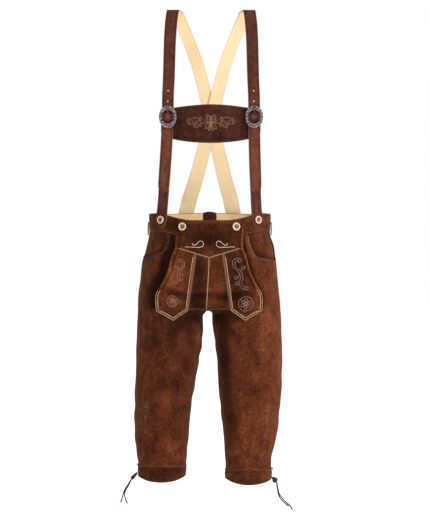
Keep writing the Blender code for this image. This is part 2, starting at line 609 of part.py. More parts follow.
def make_fly_gore(side, materials, waist):
    """One half of the fly, from the centre seam to the tongue's inner edge."""
    sign = side_sign(side)
    share = np.linspace(0.0, 1.0, 5)[None, :]
    part = np.linspace(0.0, 1.0, 8)[:, None]
    top = yoke_edge(TONGUE_TOP_X * share) + SEAM_GAP
    drop = top + (FLY_BOTTOM - top) * part
    seam = FLY_DRIFT * (drop - YOKE_POINT) / (FLY_BOTTOM - YOKE_POINT)
    first = seam + sign * SEAM_GAP / 2.0
    last = sign * (tongue_inner_edge(drop) - SEAM_GAP)
    across = first + (last - first) * share
    front_wall(f"fly_{side}", across, drop, FLY_IN, FLY_OUT, materials["suede"], waist)


def make_tongue(side, materials, waist):
    """One pointed tongue: its outer edge is the drop front's edge."""
    span = FLAP_EDGE["half_width"][-1] - TONGUE_BOTTOM_X
    tip_share = (TONGUE_TIP_X - TONGUE_BOTTOM_X) / span
    share = np.concatenate([np.linspace(0.0, tip_share, 4), np.linspace(tip_share, 1.0, 4)[1:]])[None, :]
    part = np.linspace(0.0, 1.0, 10)[:, None]
    top = yoke_edge(TONGUE_TOP_X + (FLAP_EDGE["half_width"][1] - TONGUE_TOP_X) * share) + SEAM_GAP
    bottom = np.interp(share, [0.0, tip_share, 1.0],
                       [TONGUE_BOTTOM_DROP, TONGUE_TIP_DROP, FLAP_EDGE["drop"][-1]])
    drop = top + (bottom - top) * part
    inner = tongue_inner_edge(np.minimum(drop, TONGUE_BOTTOM_DROP))
    outer = curve_through(drop, FLAP_EDGE["drop"], FLAP_EDGE["half_width"])
    across = side_sign(side) * (inner + (outer - inner) * share)
    front_wall(f"tongue_{side}", across, drop, TONGUE_IN, TONGUE_OUT, materials["suede"], waist)


# ---------------------------------------------------------------- braces
def lean(height):
    """How far the braces stand to the right at a height."""
    return BRACE_LEAN * np.clip(height / BUCKLE_HEIGHT, 0.0, 1.0)


def brace_route(side):
    """The knots of one brace's route: way along it, points, widths and turns; it ends on the waistband."""
    sign = side_sign(side)
    points = np.stack([ROUTE["spread"] * sign, ROUTE["depth"], ROUTE["height"]], axis=-1)
    points[:, 0] += lean(points[:, 2])
    points[:, 1] += cross_shift(side, points)
    other = "right" if side == "left" else "left"
    ends, end_turns = [], []
    for drop, spread in zip(BRACE_END_DROPS, BRACE_END_SPREADS):
        turn = turn_at(other, spread, drop)
        normal = trouser_normals(other, turn, drop)
        lift = WAISTBAND_OUT + SEAM_GAP - LINING_IN
        ends.append(trouser_points(other, turn, drop) + normal * lift)
        end_turns.append(math.degrees(math.atan2(-normal[0], normal[1])))
    points = np.concatenate([points, np.array(ends)])
    widths = np.concatenate([ROUTE["width"], [ROUTE["width"][-1]] * len(ends)])
    turns = np.radians(np.concatenate([ROUTE["turn"] * sign, end_turns]))
    way = np.concatenate([[0.0], np.cumsum(np.linalg.norm(np.diff(points, axis=0), axis=1))])
    return way, points, widths, turns


def route_points(route, stations):
    """Points of a route at the given distances along it."""
    way, points = route[:2]
    return np.stack([curve_through(stations, way, points[:, axis]) for axis in range(3)], axis=-1)


def route_frames(route, stations):
    """Points, across and outward directions, and half widths of a route.

    The outward direction is square to the route and level across it, and then turned by the route's turn.
    """
    way, _, widths, turns = route
    ends = np.clip(stations, way[0] + SMALL_STEP, way[-1] - SMALL_STEP)
    tangent = unit(route_points(route, ends + SMALL_STEP) - route_points(route, ends - SMALL_STEP))
    outward = np.zeros_like(tangent)
    outward[:, 1], outward[:, 2] = -tangent[:, 2], tangent[:, 1]
    outward = unit(outward)
    turn = curve_through(stations, way, turns)
    cosine, sine = np.cos(turn), np.sin(turn)
    turned = outward.copy()
    turned[:, 0] = outward[:, 0] * cosine - outward[:, 1] * sine
    turned[:, 1] = outward[:, 0] * sine + outward[:, 1] * cosine
    turned = unit(turned - tangent * np.sum(turned * tangent, axis=1, keepdims=True))
    half = curve_through(stations, way, widths) / 2.0
    return route_points(route, stations), np.cross(tangent, turned), turned, half


def brace_stations(route):
    """Distances along a brace: close together at its pointed tail and over the buckle's bar."""
    length = route[0][-1]
    on_waistband = route[0][-len(BRACE_END_DROPS):]
    fine = np.linspace(0.0, on_waistband[0], int(length / FINE_STATION) + 1)[:-2]
    kept, last = [fine[0]], route_points(route, fine[:1])[0]
    for station, point in zip(fine[1:], route_points(route, fine[1:])):
        in_front = point[1] < 0.0
        at_tail = in_front and point[2] < ROUTE["height"][0] + TAIL_TIP
        at_bar = in_front and abs(point[2] - BUCKLE_HEIGHT) < BULGE_HALF * 1.3
        if at_tail or at_bar or np.linalg.norm(point - last) > STATION - FINE_STATION / 2.0:
            kept.append(station)
            last = point
    return np.concatenate([kept, on_waistband])


def cross_shift(side, points):
    """Depth that keeps the braces apart where they cross: one runs outside the other."""
    away = np.abs(points[:, 2] - CROSS_HEIGHT)
    window = 1.0 - smooth_step((away - CROSS_HALF) / CROSS_FADE)
    return -side_sign(side) * CROSS_LIFT * window * (points[:, 1] > 0.0)


def turn_at(side, spread, drop):
    """The turn at the back whose side position is the given spread."""
    low, high = 0.5, 1.0
    for _ in range(40):
        middle = (low + high) / 2.0
        reached = abs(trouser_points(side, middle, drop)[0])
        low, high = (middle, high) if reached > spread else (low, middle)
    return (low + high) / 2.0


def front_turn_at(side, spread, drop):
    """The turn at the front whose side position is the given spread."""
    low, high = 0.0, 0.5
    for _ in range(40):
        middle = (low + high) / 2.0
        reached = abs(trouser_points(side, middle, drop)[0])
        low, high = (middle, high) if reached < spread else (low, middle)
    return (low + high) / 2.0


def ribbon(name, frames, half_widths, inside, outside, material, waist):
    """A flat strip along a route, between two distances along its outward direction."""
    points, across, outward = frames[:3]
    reach = across * half_widths[:, None]
    inside = np.broadcast_to(inside, half_widths.shape)[:, None]
    outside = np.broadcast_to(outside, half_widths.shape)[:, None]
    outer = np.stack([points + reach + outward * outside, points - reach + outward * outside], axis=1)
    inner = np.stack([points + reach + outward * inside, points - reach + outward * inside], axis=1)
    return wall(name, outer, inner, material, waist)


def strap_bulge(points):
    """How far the strap rises over the buckle's bar."""
    away = np.abs(points[:, 2] - BUCKLE_HEIGHT) / BULGE_HALF
    return STRAP_BULGE * (1.0 - smooth_step(away)) * (points[:, 1] < 0.0)


def make_braces(materials, waist):
    """The two long straps and their pale linings."""
    for side in ("left", "right"):
        route = brace_route(side)
        frames = route_frames(route, brace_stations(route))
        points, half = frames[0], frames[3]
        from_tip = np.clip((points[:, 2] - ROUTE["height"][0]) / TAIL_TIP, 0.0, 1.0)
        half = half * np.where(points[:, 1] < 0.0, 0.25 + 0.75 * np.sqrt(from_tip), 1.0)
        rise = strap_bulge(points)
        ribbon(f"brace_{side}", frames, half, STRAP_IN + rise, STRAP_OUT + rise,
               materials["dark_suede"], waist)
        ribbon(f"brace_lining_{side}", frames, half - LINING_SET_BACK, LINING_IN + rise, LINING_OUT + rise,
               materials["lining"], waist)


def tab_frames(side):
    """The tab's inner side: on the waistband first, then up along the brace's route to the buckle."""
    points, normals = [], []
    for drop, spread in zip(TAB_DROPS, TAB_SPREADS):
        turn = front_turn_at(side, spread, drop)
        normals.append(trouser_normals(side, turn, drop))
        points.append(trouser_points(side, turn, drop) + normals[-1] * (WAISTBAND_OUT + SEAM_GAP))
    points, normals = np.array(points), np.array(normals)
    tangent = unit(np.gradient(points, axis=0))
    across = unit(np.cross(tangent, normals))
    route = brace_route(side)
    stations = brace_stations(route)
    height = route_points(route, stations)[:, 2]
    upper = route_frames(route, stations[: int(np.argmax(height > TAB_TOP))])
    halves = np.concatenate([TAB_HALF_WIDTHS, np.full(len(upper[3]), TAB_WIDTH / 2.0)])
    return (np.concatenate([points, upper[0]]), np.concatenate([across, upper[1]]),
            np.concatenate([normals, upper[2]]), halves)


def make_tabs(materials, waist):
    """The lower straps, buttoned on the front waistband and drawn up to the buckles."""
    for side in ("left", "right"):
        frames = tab_frames(side)
        ribbon(f"brace_tab_{side}", frames, frames[3], 0.0, TAB_THICKNESS, materials["dark_suede"], waist)


def make_chest_bar(materials, waist):
    """The bar between the braces: it passes behind both tabs and bows forward between them."""
    share = np.sin(np.linspace(-math.pi / 2.0, math.pi / 2.0, 19))[None, :]
    across = CHEST_HALF_LENGTH * share
    corner = np.clip(np.abs(across) - (CHEST_HALF_LENGTH - CHEST_CORNER), 0.0, CHEST_CORNER)
    cut = CHEST_CORNER - np.sqrt(CHEST_CORNER ** 2 - corner ** 2)
    top = CHEST_TOP + (CHEST_TOP_END - CHEST_TOP) * share ** 2 - cut
    bottom = CHEST_BOTTOM + (CHEST_BOTTOM_END - CHEST_BOTTOM) * share ** 2 + cut
    height = top + (bottom - top) * np.linspace(0.0, 1.0, 6)[:, None]
    route = brace_route("right")
    line = route_points(route, np.linspace(0.0, CHEST_TOP, 80))
    depth = np.interp(height, line[:, 2], line[:, 1]) + SEAM_GAP
    bow = np.clip(1.0 - (across / CHEST_BOW_HALF) ** 2, 0.0, 1.0) ** 2
    across = np.broadcast_to(across, height.shape) + lean(height)
    outer = np.stack([across, depth - CHEST_BOW * bow, height], axis=-1)
    inner = outer + np.array([0.0, CHEST_THICKNESS, 0.0])
    wall("chest_bar", outer, inner, materials["dark_suede"], waist)


# ---------------------------------------------------------------- buckles and buttons
def tube(name, path, radii, material, waist, up=(0.0, 1.0, 0.0)):
    """A closed round tube with flat ends along a short path."""
    path = np.array(path)
    tangent = unit(np.gradient(path, axis=0))
    first = unit(np.cross(tangent, np.array(up)))
    second = np.cross(tangent, first)
    angle = np.linspace(0.0, 2.0 * math.pi, TUBE_STEPS, endpoint=False)
    rings = (path[:, None, :]
             + (first[:, None, :] * np.cos(angle)[None, :, None]
                + second[:, None, :] * np.sin(angle)[None, :, None]) * np.array(radii)[:, None, None])
    points = rings.reshape(-1, 3)
    faces = []
    for ring in range(len(path) - 1):
        for step in range(TUBE_STEPS):
            here, there = ring * TUBE_STEPS + step, ring * TUBE_STEPS + (step + 1) % TUBE_STEPS
            faces.append((here, there, there + TUBE_STEPS, here + TUBE_STEPS))
    faces.append(tuple(range(TUBE_STEPS - 1, -1, -1)))
    faces.append(tuple(range((len(path) - 1) * TUBE_STEPS, len(path) * TUBE_STEPS)))
    return add_mesh(name, points, faces, material, waist)


def make_buckles(materials, waist):
    """Oval frames, dished so that their middle bar lies under the strap, and their prongs."""
    front = ROUTE["height"] == BUCKLE_HEIGHT
    spread, depth = float(ROUTE["spread"][front][0]), float(ROUTE["depth"][front][0])
    for side in ("left", "right"):
        centre = np.array([spread * side_sign(side) + lean(BUCKLE_HEIGHT), depth, BUCKLE_HEIGHT])
        angle = np.linspace(0.0, 2.0 * math.pi, RING_STEPS, endpoint=False)[:, None]
        around = np.linspace(0.0, 2.0 * math.pi, TUBE_STEPS, endpoint=False)[None, :]
        stand = BUCKLE_CROWN - BUCKLE_DISH * np.cos(angle) ** 4
        ring = np.stack([
            centre[0] + (BUCKLE_HALF_WIDTH + BUCKLE_RIM * np.cos(around)) * np.cos(angle),
            centre[1] - stand - BUCKLE_THICKNESS * np.sin(around) + 0.0 * angle,
            centre[2] + (BUCKLE_HALF_HEIGHT + BUCKLE_RIM * np.cos(around)) * np.sin(angle),
        ], axis=-1)
        faces = []
        for step in range(RING_STEPS):
            for part in range(TUBE_STEPS):
                here, there = step * TUBE_STEPS, (step + 1) % RING_STEPS * TUBE_STEPS
                after = (part + 1) % TUBE_STEPS
                faces.append((here + part, there + part, there + after, here + after))
        buckle = add_mesh(f"buckle_{side}", ring.reshape(-1, 3), faces, materials["pewter"], waist)
        bar_ends = [centre + np.array([reach * BUCKLE_HALF_WIDTH, -BAR_OUT, 0.0]) for reach in (-1.0, 1.0)]
        bar = tube(f"bar_guide_{side}", bar_ends, [BAR_RADIUS] * 2, materials["pewter"], waist)
        bar.hide_render = True
        bar.display_type = "WIRE"
        union = buckle.modifiers.new("bar", "BOOLEAN")
        union.operation = "UNION"
        union.solver = "EXACT"
        union.object = bar
        over_strap = STRAP_OUT + PRONG_LIFT
        over_rim = BUCKLE_CROWN + BUCKLE_THICKNESS + SEAM_GAP + PRONG_RADIUS
        prong = [centre + np.array([0.0, -over_strap, 0.009]),
                 centre + np.array([0.0, -over_strap - 0.0002, 0.013]),
                 centre + np.array([0.0, -over_rim, BUCKLE_HALF_HEIGHT - 0.004]),
                 centre + np.array([0.0, -over_rim, BUCKLE_HALF_HEIGHT + 0.003])]
        tube(f"prong_{side}", prong, [PRONG_RADIUS] * 3 + [PRONG_RADIUS * 0.7], materials["pewter"], waist)


def add_button(name, point, normal, material, waist):
    """A horn button with a raised rim and a sunk middle, its back at the point."""
    profile = [(0.0, 0.0), (0.85, 0.0), (1.0, 0.25), (1.0, 0.70), (0.90, 1.0), (0.62, 0.92), (0.50, 0.62),
               (0.0, 0.58)]
    points, faces = [(0.0, 0.0, 0.0)], []
    for radius, height in profile[1:-1]:
        for step in range(BUTTON_STEPS):
            angle = 2.0 * math.pi * step / BUTTON_STEPS
            points.append((radius * BUTTON_RADIUS * math.cos(angle), radius * BUTTON_RADIUS * math.sin(angle),
                           height * BUTTON_THICKNESS))
    points.append((0.0, 0.0, profile[-1][1] * BUTTON_THICKNESS))
    rings, last = len(profile) - 2, len(points) - 1
    for step in range(BUTTON_STEPS):
        after = (step + 1) % BUTTON_STEPS
        faces.append((0, 1 + after, 1 + step))
        for ring in range(rings - 1):
            low, high = 1 + ring * BUTTON_STEPS, 1 + (ring + 1) * BUTTON_STEPS
            faces.append((low + step, low + after, high + after, high + step))
        top = 1 + (rings - 1) * BUTTON_STEPS
        faces.append((top + step, top + after, last))
    button = add_mesh(name, points, faces, material, waist)
    button.location = Vector(point)
    button.rotation_mode = "QUATERNION"
    button.rotation_quaternion = Vector(normal).to_track_quat("Z", "Y")
    return button


def make_buttons(materials, waist):
    """Buttons on the tabs, on the drop front's corners and on the braces' ends at the back."""
    for side in ("left", "right"):
        sign = side_sign(side)
        turn = front_turn_at(side, TAB_SPREAD, TAB_BUTTON_DROP)
        normal = trouser_normals(side, turn, TAB_BUTTON_DROP)
        stand = WAISTBAND_OUT + TAB_THICKNESS + 2.0 * SEAM_GAP
        point = trouser_points(side, turn, TAB_BUTTON_DROP) + normal * (stand + 0.0001)
        add_button(f"brace_button_{side}", point, normal, materials["horn"], waist)
        turn = front_turn_at(side, FLAP_BUTTON_X, FLAP_BUTTON_DROP)
        normal = trouser_normals(side, turn, FLAP_BUTTON_DROP)
        point = trouser_points(side, turn, FLAP_BUTTON_DROP) + normal * (YOKE_OUT + SEAM_GAP)
        add_button(f"flap_button_{side}", point, normal, materials["horn"], waist)
        drop, spread = BRACE_END_DROPS[1], BRACE_END_SPREADS[1]
        turn = turn_at(side, spread, drop)
        normal = trouser_normals(side, turn, drop)
        stand = WAISTBAND_OUT + SEAM_GAP + STRAP_OUT - LINING_IN + 2.0 * SEAM_GAP
        add_button(f"back_button_{side}", trouser_points(side, turn, drop) + normal * stand, normal,
                   materials["horn"], waist)


# ---------------------------------------------------------------- knee laces
def smooth_path(points, spacing):
    """Even points on a smooth curve through a lace's own points."""
    points = np.array([(x, y, -drop) for x, y, drop in points])
    way = np.concatenate([[0.0], np.cumsum(np.linalg.norm(np.diff(points, axis=0), axis=1))])
    stations = np.linspace(0.0, way[-1], int(way[-1] / spacing) + 1)
    return np.stack([curve_through(stations, way, points[:, axis]) for axis in range(3)], axis=-1)


def make_knee_laces(materials, waist):
    """At each knee band: the lace's knot, which stands out of the slit, and its two loose strands."""
    for side in ("left", "right"):
        path = [(x, y, -drop) for x, y, drop in KNOTS[side]]
        tube(f"knee_lace_knot_{side}", path, KNOT_RADII[side], materials["thong"], waist)
    for name, points in STRANDS.items():
        path = smooth_path(points, 2.5 * LACE_DIAMETER)
        curve = bpy.data.curves.new(f"knee_lace_{name}", "CURVE")
        curve.dimensions = "3D"
        curve.bevel_depth = LACE_DIAMETER / 2.0
        curve.bevel_resolution = 2
        curve.use_fill_caps = True
        spline = curve.splines.new("POLY")
        spline.points.add(len(path) - 1)
        for target, point in zip(spline.points, path):
            target.co = (*point, 1.0)
        curve.materials.append(materials["thong"])
        lace = bpy.data.objects.new(f"knee_lace_{name}", curve)
        bpy.context.scene.collection.objects.link(lace)
        lace.parent = waist


def main():
    """Build every piece and hang it from the shoulders' level."""
    clear_scene()
    materials = make_materials()
    waist = bpy.data.objects.new("waist_line", None)
    waist.location = (0.0, 0.0, -SHOULDER_RISE)
    bpy.context.scene.collection.objects.link(waist)
    make_leg_panels(materials, waist)
    make_pocket_facings(materials, waist)
    make_waistband(materials, waist)
    make_knee_bands(materials, waist)
    make_belt_loops(materials, waist)
    make_drop_front(materials, waist)
    make_braces(materials, waist)
    make_tabs(materials, waist)
    make_chest_bar(materials, waist)
    make_buckles(materials, waist)
    make_buttons(materials, waist)
    make_knee_laces(materials, waist)
    bpy.context.view_layer.update()


main()
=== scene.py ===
"""Looks of knee-length leather trousers with a drop front, crossed braces and a chest bar.

Metres, +Z up, the front faces -Y, and left and right are the viewer's, seen from the front.  Shapes are
worked out round the waist line, which hangs SHOULDER_RISE below the origin; a "drop" is a depth below it.
Every piece of leather is a thin shell: a surface, given as a function of two parameters, is walked on a
grid and moved out along its normals, by its place in the pile of layers and by the folds that cross it.
"""

import logging
import math
from dataclasses import dataclass, field, replace
from enum import Enum
from functools import cached_property
from typing import Callable, Optional, Sequence

import bpy
import numpy as np
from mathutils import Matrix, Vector


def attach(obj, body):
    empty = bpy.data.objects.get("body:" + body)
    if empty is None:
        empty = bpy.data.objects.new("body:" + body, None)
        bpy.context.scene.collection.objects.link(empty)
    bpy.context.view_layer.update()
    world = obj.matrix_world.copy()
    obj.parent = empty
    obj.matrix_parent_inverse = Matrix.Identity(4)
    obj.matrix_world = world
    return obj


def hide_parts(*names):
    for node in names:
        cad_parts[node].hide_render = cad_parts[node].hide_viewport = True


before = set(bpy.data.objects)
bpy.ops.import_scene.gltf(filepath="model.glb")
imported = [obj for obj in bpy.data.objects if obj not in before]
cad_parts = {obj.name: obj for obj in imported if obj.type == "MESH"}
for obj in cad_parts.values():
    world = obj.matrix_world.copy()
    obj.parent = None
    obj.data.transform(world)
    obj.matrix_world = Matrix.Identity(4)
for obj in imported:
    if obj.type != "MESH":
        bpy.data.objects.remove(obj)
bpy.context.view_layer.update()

LOG = logging.getLogger("trousers")
Array = np.ndarray
Pair = tuple[float, float]
Row = tuple[float, ...]
Point = tuple[float, float, float]
Line = tuple[Array, Array]      # points and the normals there, or two parameters
Made = Callable[[Array], Array]

TURN = 2 * math.pi
SHOULDER_RISE = .555           # from the waist line up to where the braces lie on the shoulders
SEAM_GAP = .00003              # between the edges of two pieces that are sewn together
LAY_GAP = .0003                # between two pieces that lie on each other
SLOPE_STEP = 1e-4               # for slopes by differences
EDGE_MARKS = (0, .0003, .0008, .0016, .0026, .0036, .005)    # grid lines beside a cut edge
SHARP_ANGLE = math.radians(50)
RAW_EDGE = .0009                # how far in from a cut edge the raw leather shows
FACING = (.1, .45)              # cosine from which leather belongs to a face, and how softly
PUNCH_REACH = .02               # how far a punch goes through on either side


# ---- curves and small maths
class Side(Enum):
    """The viewer's left or right."""

    LEFT = "left"
    RIGHT = "right"

    def __str__(self) -> str:
        """The side as part of a name."""
        return self.value

    def of(self, pair: tuple) -> object:
        """The first of a pair for the left and the second for the right."""
        return pair[self is Side.RIGHT]

    @property
    def sign(self) -> float:
        """-1 for the left and +1 for the right."""
        return self.of((-1, 1))

    @property
    def other(self) -> "Side":
        """The opposite side."""
        return self.of((Side.RIGHT, Side.LEFT))


def ease(value: Array) -> Array:
    """0 below 0, 1 above 1, and a soft S between them."""
    value = np.clip(value, 0, 1)
    return value * value * (3 - 2 * value)


def rising(value: Array, start: float, span: float) -> Array:
    """0 up to the start, 1 from a span after it, and a soft S between them."""
    return ease((value - start) / span)


def falling(value: Array, end: float, span: float) -> Array:
    """1 up to a span before the end, 0 from the end, and a soft S between them."""
    return ease((end - value) / span)


def unit(vectors: Array) -> Array:
    """The vectors scaled to length 1."""
    return vectors / np.maximum(np.linalg.norm(vectors, axis=-1, keepdims=True), 1e-12)


def grids(*values: Array) -> list[Array]:
    """The values as arrays of numbers of one shape."""
    return np.broadcast_arrays(*(np.asarray(value, float) for value in values))


def curve_through(where: Array, knots: Array, values: Array) -> Array:
    """A cubic through the knots whose slopes are limited, so that it never overshoots them.

    Args:
        where: Places at which the curve is read.
        knots: Rising places of the known values.
        values: The values there, or rows of several values.

    Returns:
        The curve's values.
    """
    knots, values = np.asarray(knots, float), np.asarray(values, float)
    if values.ndim == 2:
        return np.stack([curve_through(where, knots, column) for column in values.T], axis=-1)
    widths = np.diff(knots)
    rises = np.diff(values) / widths
    slopes = np.concatenate([rises[:1], rises])
    same_way = rises[:-1] * rises[1:] > 0
    before, after = 2 * widths[1:] + widths[:-1], widths[1:] + 2 * widths[:-1]
    mean = (before + after) / (before / np.where(same_way, rises[:-1], 1)
                               + after / np.where(same_way, rises[1:], 1))
    slopes[1:-1] = np.where(same_way, mean, 0)
    where = np.clip(where, knots[0], knots[-1])
    index = np.clip(np.searchsorted(knots, where, side="right") - 1, 0, len(widths) - 1)
    part = (where - knots[index]) / widths[index]
    rest = 1 - part
    return (values[index] * rest * rest * (1 + 2 * part)
            + values[index + 1] * part * part * (1 + 2 * rest)
            + widths[index] * part * rest * (slopes[index] * rest - slopes[index + 1] * part))


def straight_through(where: Array, knots: Array, values: Array) -> Array:
    """Straight lines between rows of values."""
    return np.stack([np.interp(where, knots, column) for column in values.T], axis=-1)


def between(first: Array, last: Array, share: Array) -> Array:
    """Evenly from the first value to the last one."""
    return first + (last - first) * share


def way_along(points: Array) -> Array:
    """Distance travelled at each point of a line."""
    return np.concatenate([[0], np.cumsum(np.linalg.norm(np.diff(points, axis=0), axis=1))])


def smooth_line(points: Sequence[Row], spacing: float) -> Array:
    """Even points, about spacing apart, on a smooth curve through a few given ones."""
    way = way_along(np.asarray(points, float))
    return curve_through(np.linspace(0, way[-1], max(3, int(way[-1] / spacing) + 1)), way, points)


def graded(span: float, spacing: float, down: bool = False) -> Array:
    """Shares of a span from 0 to 1, close together beside its ends, as one row or down one column.

    Args:
        span: Length of the span.
        spacing: Usual distance between places.
        down: Whether they run down one column.

    Returns:
        The shares.
    """
    marks = np.array(EDGE_MARKS) / span
    marks = marks[marks < .4]
    count = max(2, int(round(span * (1 - 2 * marks[-1]) / spacing)) + 1)
    shares = np.concatenate([marks[:-1], np.linspace(marks[-1], 1 - marks[-1], count), 1 - marks[-2::-1]])
    return shares[:, None] if down else shares[None, :]


def table(names: str, *rows: Row) -> dict[str, Array]:
    """The columns of a table by name."""
    return dict(zip(names.split(), np.array(rows).T))


# ---- folds, and painted patches of shade and light
class Face(Enum):
    """A way that leather faces, and the leg it must be on: direction, index of "across", leg's sign or 0."""

    FRONT = ((0, -1, 0), 0, 0)
    BACK = ((0, 1, 0), 0, 0)
    LEFT_OUT = ((-1, 0, 0), 1, -1)
    RIGHT_OUT = ((1, 0, 0), 1, 1)
    LEFT_IN = ((1, 0, 0), 1, -1)
    RIGHT_IN = ((-1, 0, 0), 1, 1)

    def weight(self, points: Array, normals: Array) -> Array:
        """How much each point belongs to this face: 1 where it faces the way, fading to 0 as it turns.

        Args:
            points: Points, in waist coordinates.
            normals: The plain form's normals there.

        Returns:
            The weights.
        """
        direction, _, leg = self.value
        facing = rising(normals @ np.array(direction), *FACING)
        return facing if leg == 0 else facing * (points[..., 0] * leg > 0)

    def seen_from(self, points: Array, across: float, drop: float, angle: float) -> Line:
        """Distances along and aside of a line through a place, which slopes by an angle in degrees.

        Args:
            points: Points, in waist coordinates.
            across: Side position of the place.
            drop: Drop of the place.
            angle: The line's slope.

        Returns:
            Both distances of each point.
        """
        cosine, sine = math.cos(math.radians(angle)), math.sin(math.radians(angle))
        right, up = points[..., self.value[1]] - across, points[..., 2] + drop
        return right * cosine + up * sine, up * cosine - right * sine


FOLD_UNITS = (1e-3, 1e-3, 1e-3, 1, 1e-3, 1e-3, 1e-3)
FOLDS = {   # across, drop, length, angle, bend, width, depth: in millimetres and degrees
    Face.FRONT: [
        (-80, 216, 85, -14, 2, 6.5, 4.6), (-4, 217, 120, -3, -4, 7.5, 5.8), (82, 214, 100, 4, 3, 7, 5),
        (10, 243, 85, 2, -3, 4.5, 1.6), (-20, 160, 80, 84, 4, 11, 1.8), (24, 150, 90, 95, -3, 12, 1.4),
        (-124, 150, 170, 79, 6, 11, 6), (-150, 190, 120, 70, 8, 11, 3), (132, 128, 110, 101, -4, 10, 3),
        (158, 152, 90, 62, 6, 9, 2.6), (160, 238, 130, 118, 10, 12, 3), (-50, 322, 110, 98, 6, 11, 4.4),
        (-92, 318, 120, 62, -10, 13, 3.6), (-150, 330, 190, 86, 6, 15, 3.2),
        (-70, 412, 110, 52, -12, 12, 3.4), (-120, 452, 120, 20, 10, 14, 2.4),
        (60, 318, 120, 128, 12, 12, 4.8), (46, 390, 160, 99, 6, 13, 4.4), (110, 352, 170, 104, -8, 15, 2.8),
        (160, 382, 190, 84, 8, 14, 2.8), (120, 470, 120, 150, 8, 14, 2.4), (-72, 520, 100, 24, -8, 10, 3),
        (-150, 540, 130, 102, -6, 13, 2.6), (-98, 585, 110, 130, 8, 12, 2.6), (-82, 634, 80, 28, -6, 8, 3),
        (-112, 652, 110, -34, -12, 8.5, 2.8), (-158, 640, 80, 62, 8, 8.5, 3), (64, 560, 130, 96, -6, 12, 3),
        (118, 560, 120, 66, 10, 13, 2.8), (140, 605, 90, 100, 6, 10, 2.6), (82, 648, 90, 36, -10, 8.5, 3.4),
        (130, 660, 60, 128, 6, 7, 2.6)],
    Face.BACK: [
        (-75, 262, 130, 18, 10, 12, 7), (-110, 298, 110, 30, 8, 10, 5), (78, 268, 140, -22, 12, 12, 6.6),
        (112, 306, 100, -34, 6, 10.5, 5), (-60, 120, 100, 76, 6, 12, 3.6), (66, 130, 110, 101, 6, 12, 3.8),
        (-140, 200, 120, 64, 10, 13, 3), (142, 190, 130, 118, 10, 13, 3), (-120, 400, 150, 80, 8, 14, 3),
        (116, 410, 160, 97, 8, 14, 3), (-122, 512, 110, 10, -10, 9, 4.8), (-132, 540, 100, -16, 8, 8.5, 4),
        (112, 520, 110, -8, -10, 9, 4.6), (100, 550, 90, 14, 8, 8.5, 3.6), (-120, 640, 90, 40, 8, 8.5, 3.2),
        (110, 650, 80, -38, 8, 8.5, 3)],
    Face.LEFT_OUT: [
        (-20, 190, 150, 78, 6, 15, 2), (30, 350, 160, 94, 8, 15, 1.8), (0, 520, 100, 26, 8, 15, 1.6),
        (10, 640, 80, -30, 6, 13, 1.4)],
    Face.RIGHT_OUT: [
        (20, 200, 150, 100, 6, 15, 2), (-20, 370, 160, 84, 8, 15, 1.8), (0, 540, 100, -22, 8, 15, 1.6),
        (0, 650, 80, 34, 6, 13, 1.4)],
    Face.LEFT_IN: [
        (0, 342, 120, 22, 8, 13, 1.9), (0, 384, 110, -12, 8, 12, 1.8), (0, 500, 110, -20, 8, 13, 1.8),
        (10, 632, 80, 18, 6, 14, 1.4)],
    Face.RIGHT_IN: [
        (0, 345, 120, -24, 8, 14, 1.5), (0, 520, 110, 20, 8, 14, 1.4)],
}
PAINTED_SHADE_PATCH_UNITS = (1e-3, 1e-3, 1e-3, 1e-3, 1, 1)
PAINTED_SHADE_PATCHES = {     # painted patches of shade and light: across, drop, width, height, angle, tone: in millimetres and degrees
    Face.FRONT: [
        (0, 66, 66, 32, 0, -.95), (70, 170, 26, 60, 4, -.75), (-30, 175, 18, 60, 0, -.85),
        (30, 180, 18, 70, 0, .12), (-94, 165, 26, 60, -10, .45), (-30, 226, 26, 15, 0, -1.1),
        (44, 222, 24, 13, 0, -.95), (92, 232, 36, 26, 0, -.85), (-88, 212, 30, 10, 0, -.7),
        (150, 100, 18, 30, 0, -.35), (176, 110, 12, 40, 0, .6), (-28, 330, 10, 30, 0, .75),
        (-90, 300, 40, 30, 20, -.45), (-60, 405, 10, 32, 10, -.6), (-84, 460, 22, 22, 0, -.5),
        (36, 360, 14, 120, 0, -.7), (50, 520, 12, 110, 4, -.4), (100, 620, 30, 40, 20, .25),
        (-110, 30, 60, 24, 0, -.5), (-30, 244, 30, 11, -14, -.7), (14, 252, 26, 7, 0, -.5),
        (0, 276, 70, 18, 0, -1.1), (-100, 350, 30, 60, 0, -.25), (-115, 480, 80, 260, 0, -.14),
        (88, 180, 30, 60, 0, -.25), (100, 330, 50, 60, 0, -.2), (-30, 140, 14, 30, 0, -.2),
        (196, 150, 12, 30, 0, -.3), (240, 700, 30, 16, 0, .2), (-120, 500, 24, 30, 0, .25),
        (110, 560, 24, 40, 0, .25), (-95, 640, 26, 24, 0, .3), (-130, 700, 30, 16, 0, -.45),
        (150, 300, 40, 80, 0, .25), (-150, 620, 30, 60, 0, -.15)],
    Face.BACK: [
        (-80, 200, 50, 60, 0, .35), (80, 190, 50, 60, 0, .3), (-110, 520, 40, 30, 0, -.35),
        (110, 530, 40, 30, 0, -.35), (0, 280, 50, 30, 0, -.45)],
    Face.RIGHT_OUT: [
        (-20, 420, 70, 260, 0, .45)],
}


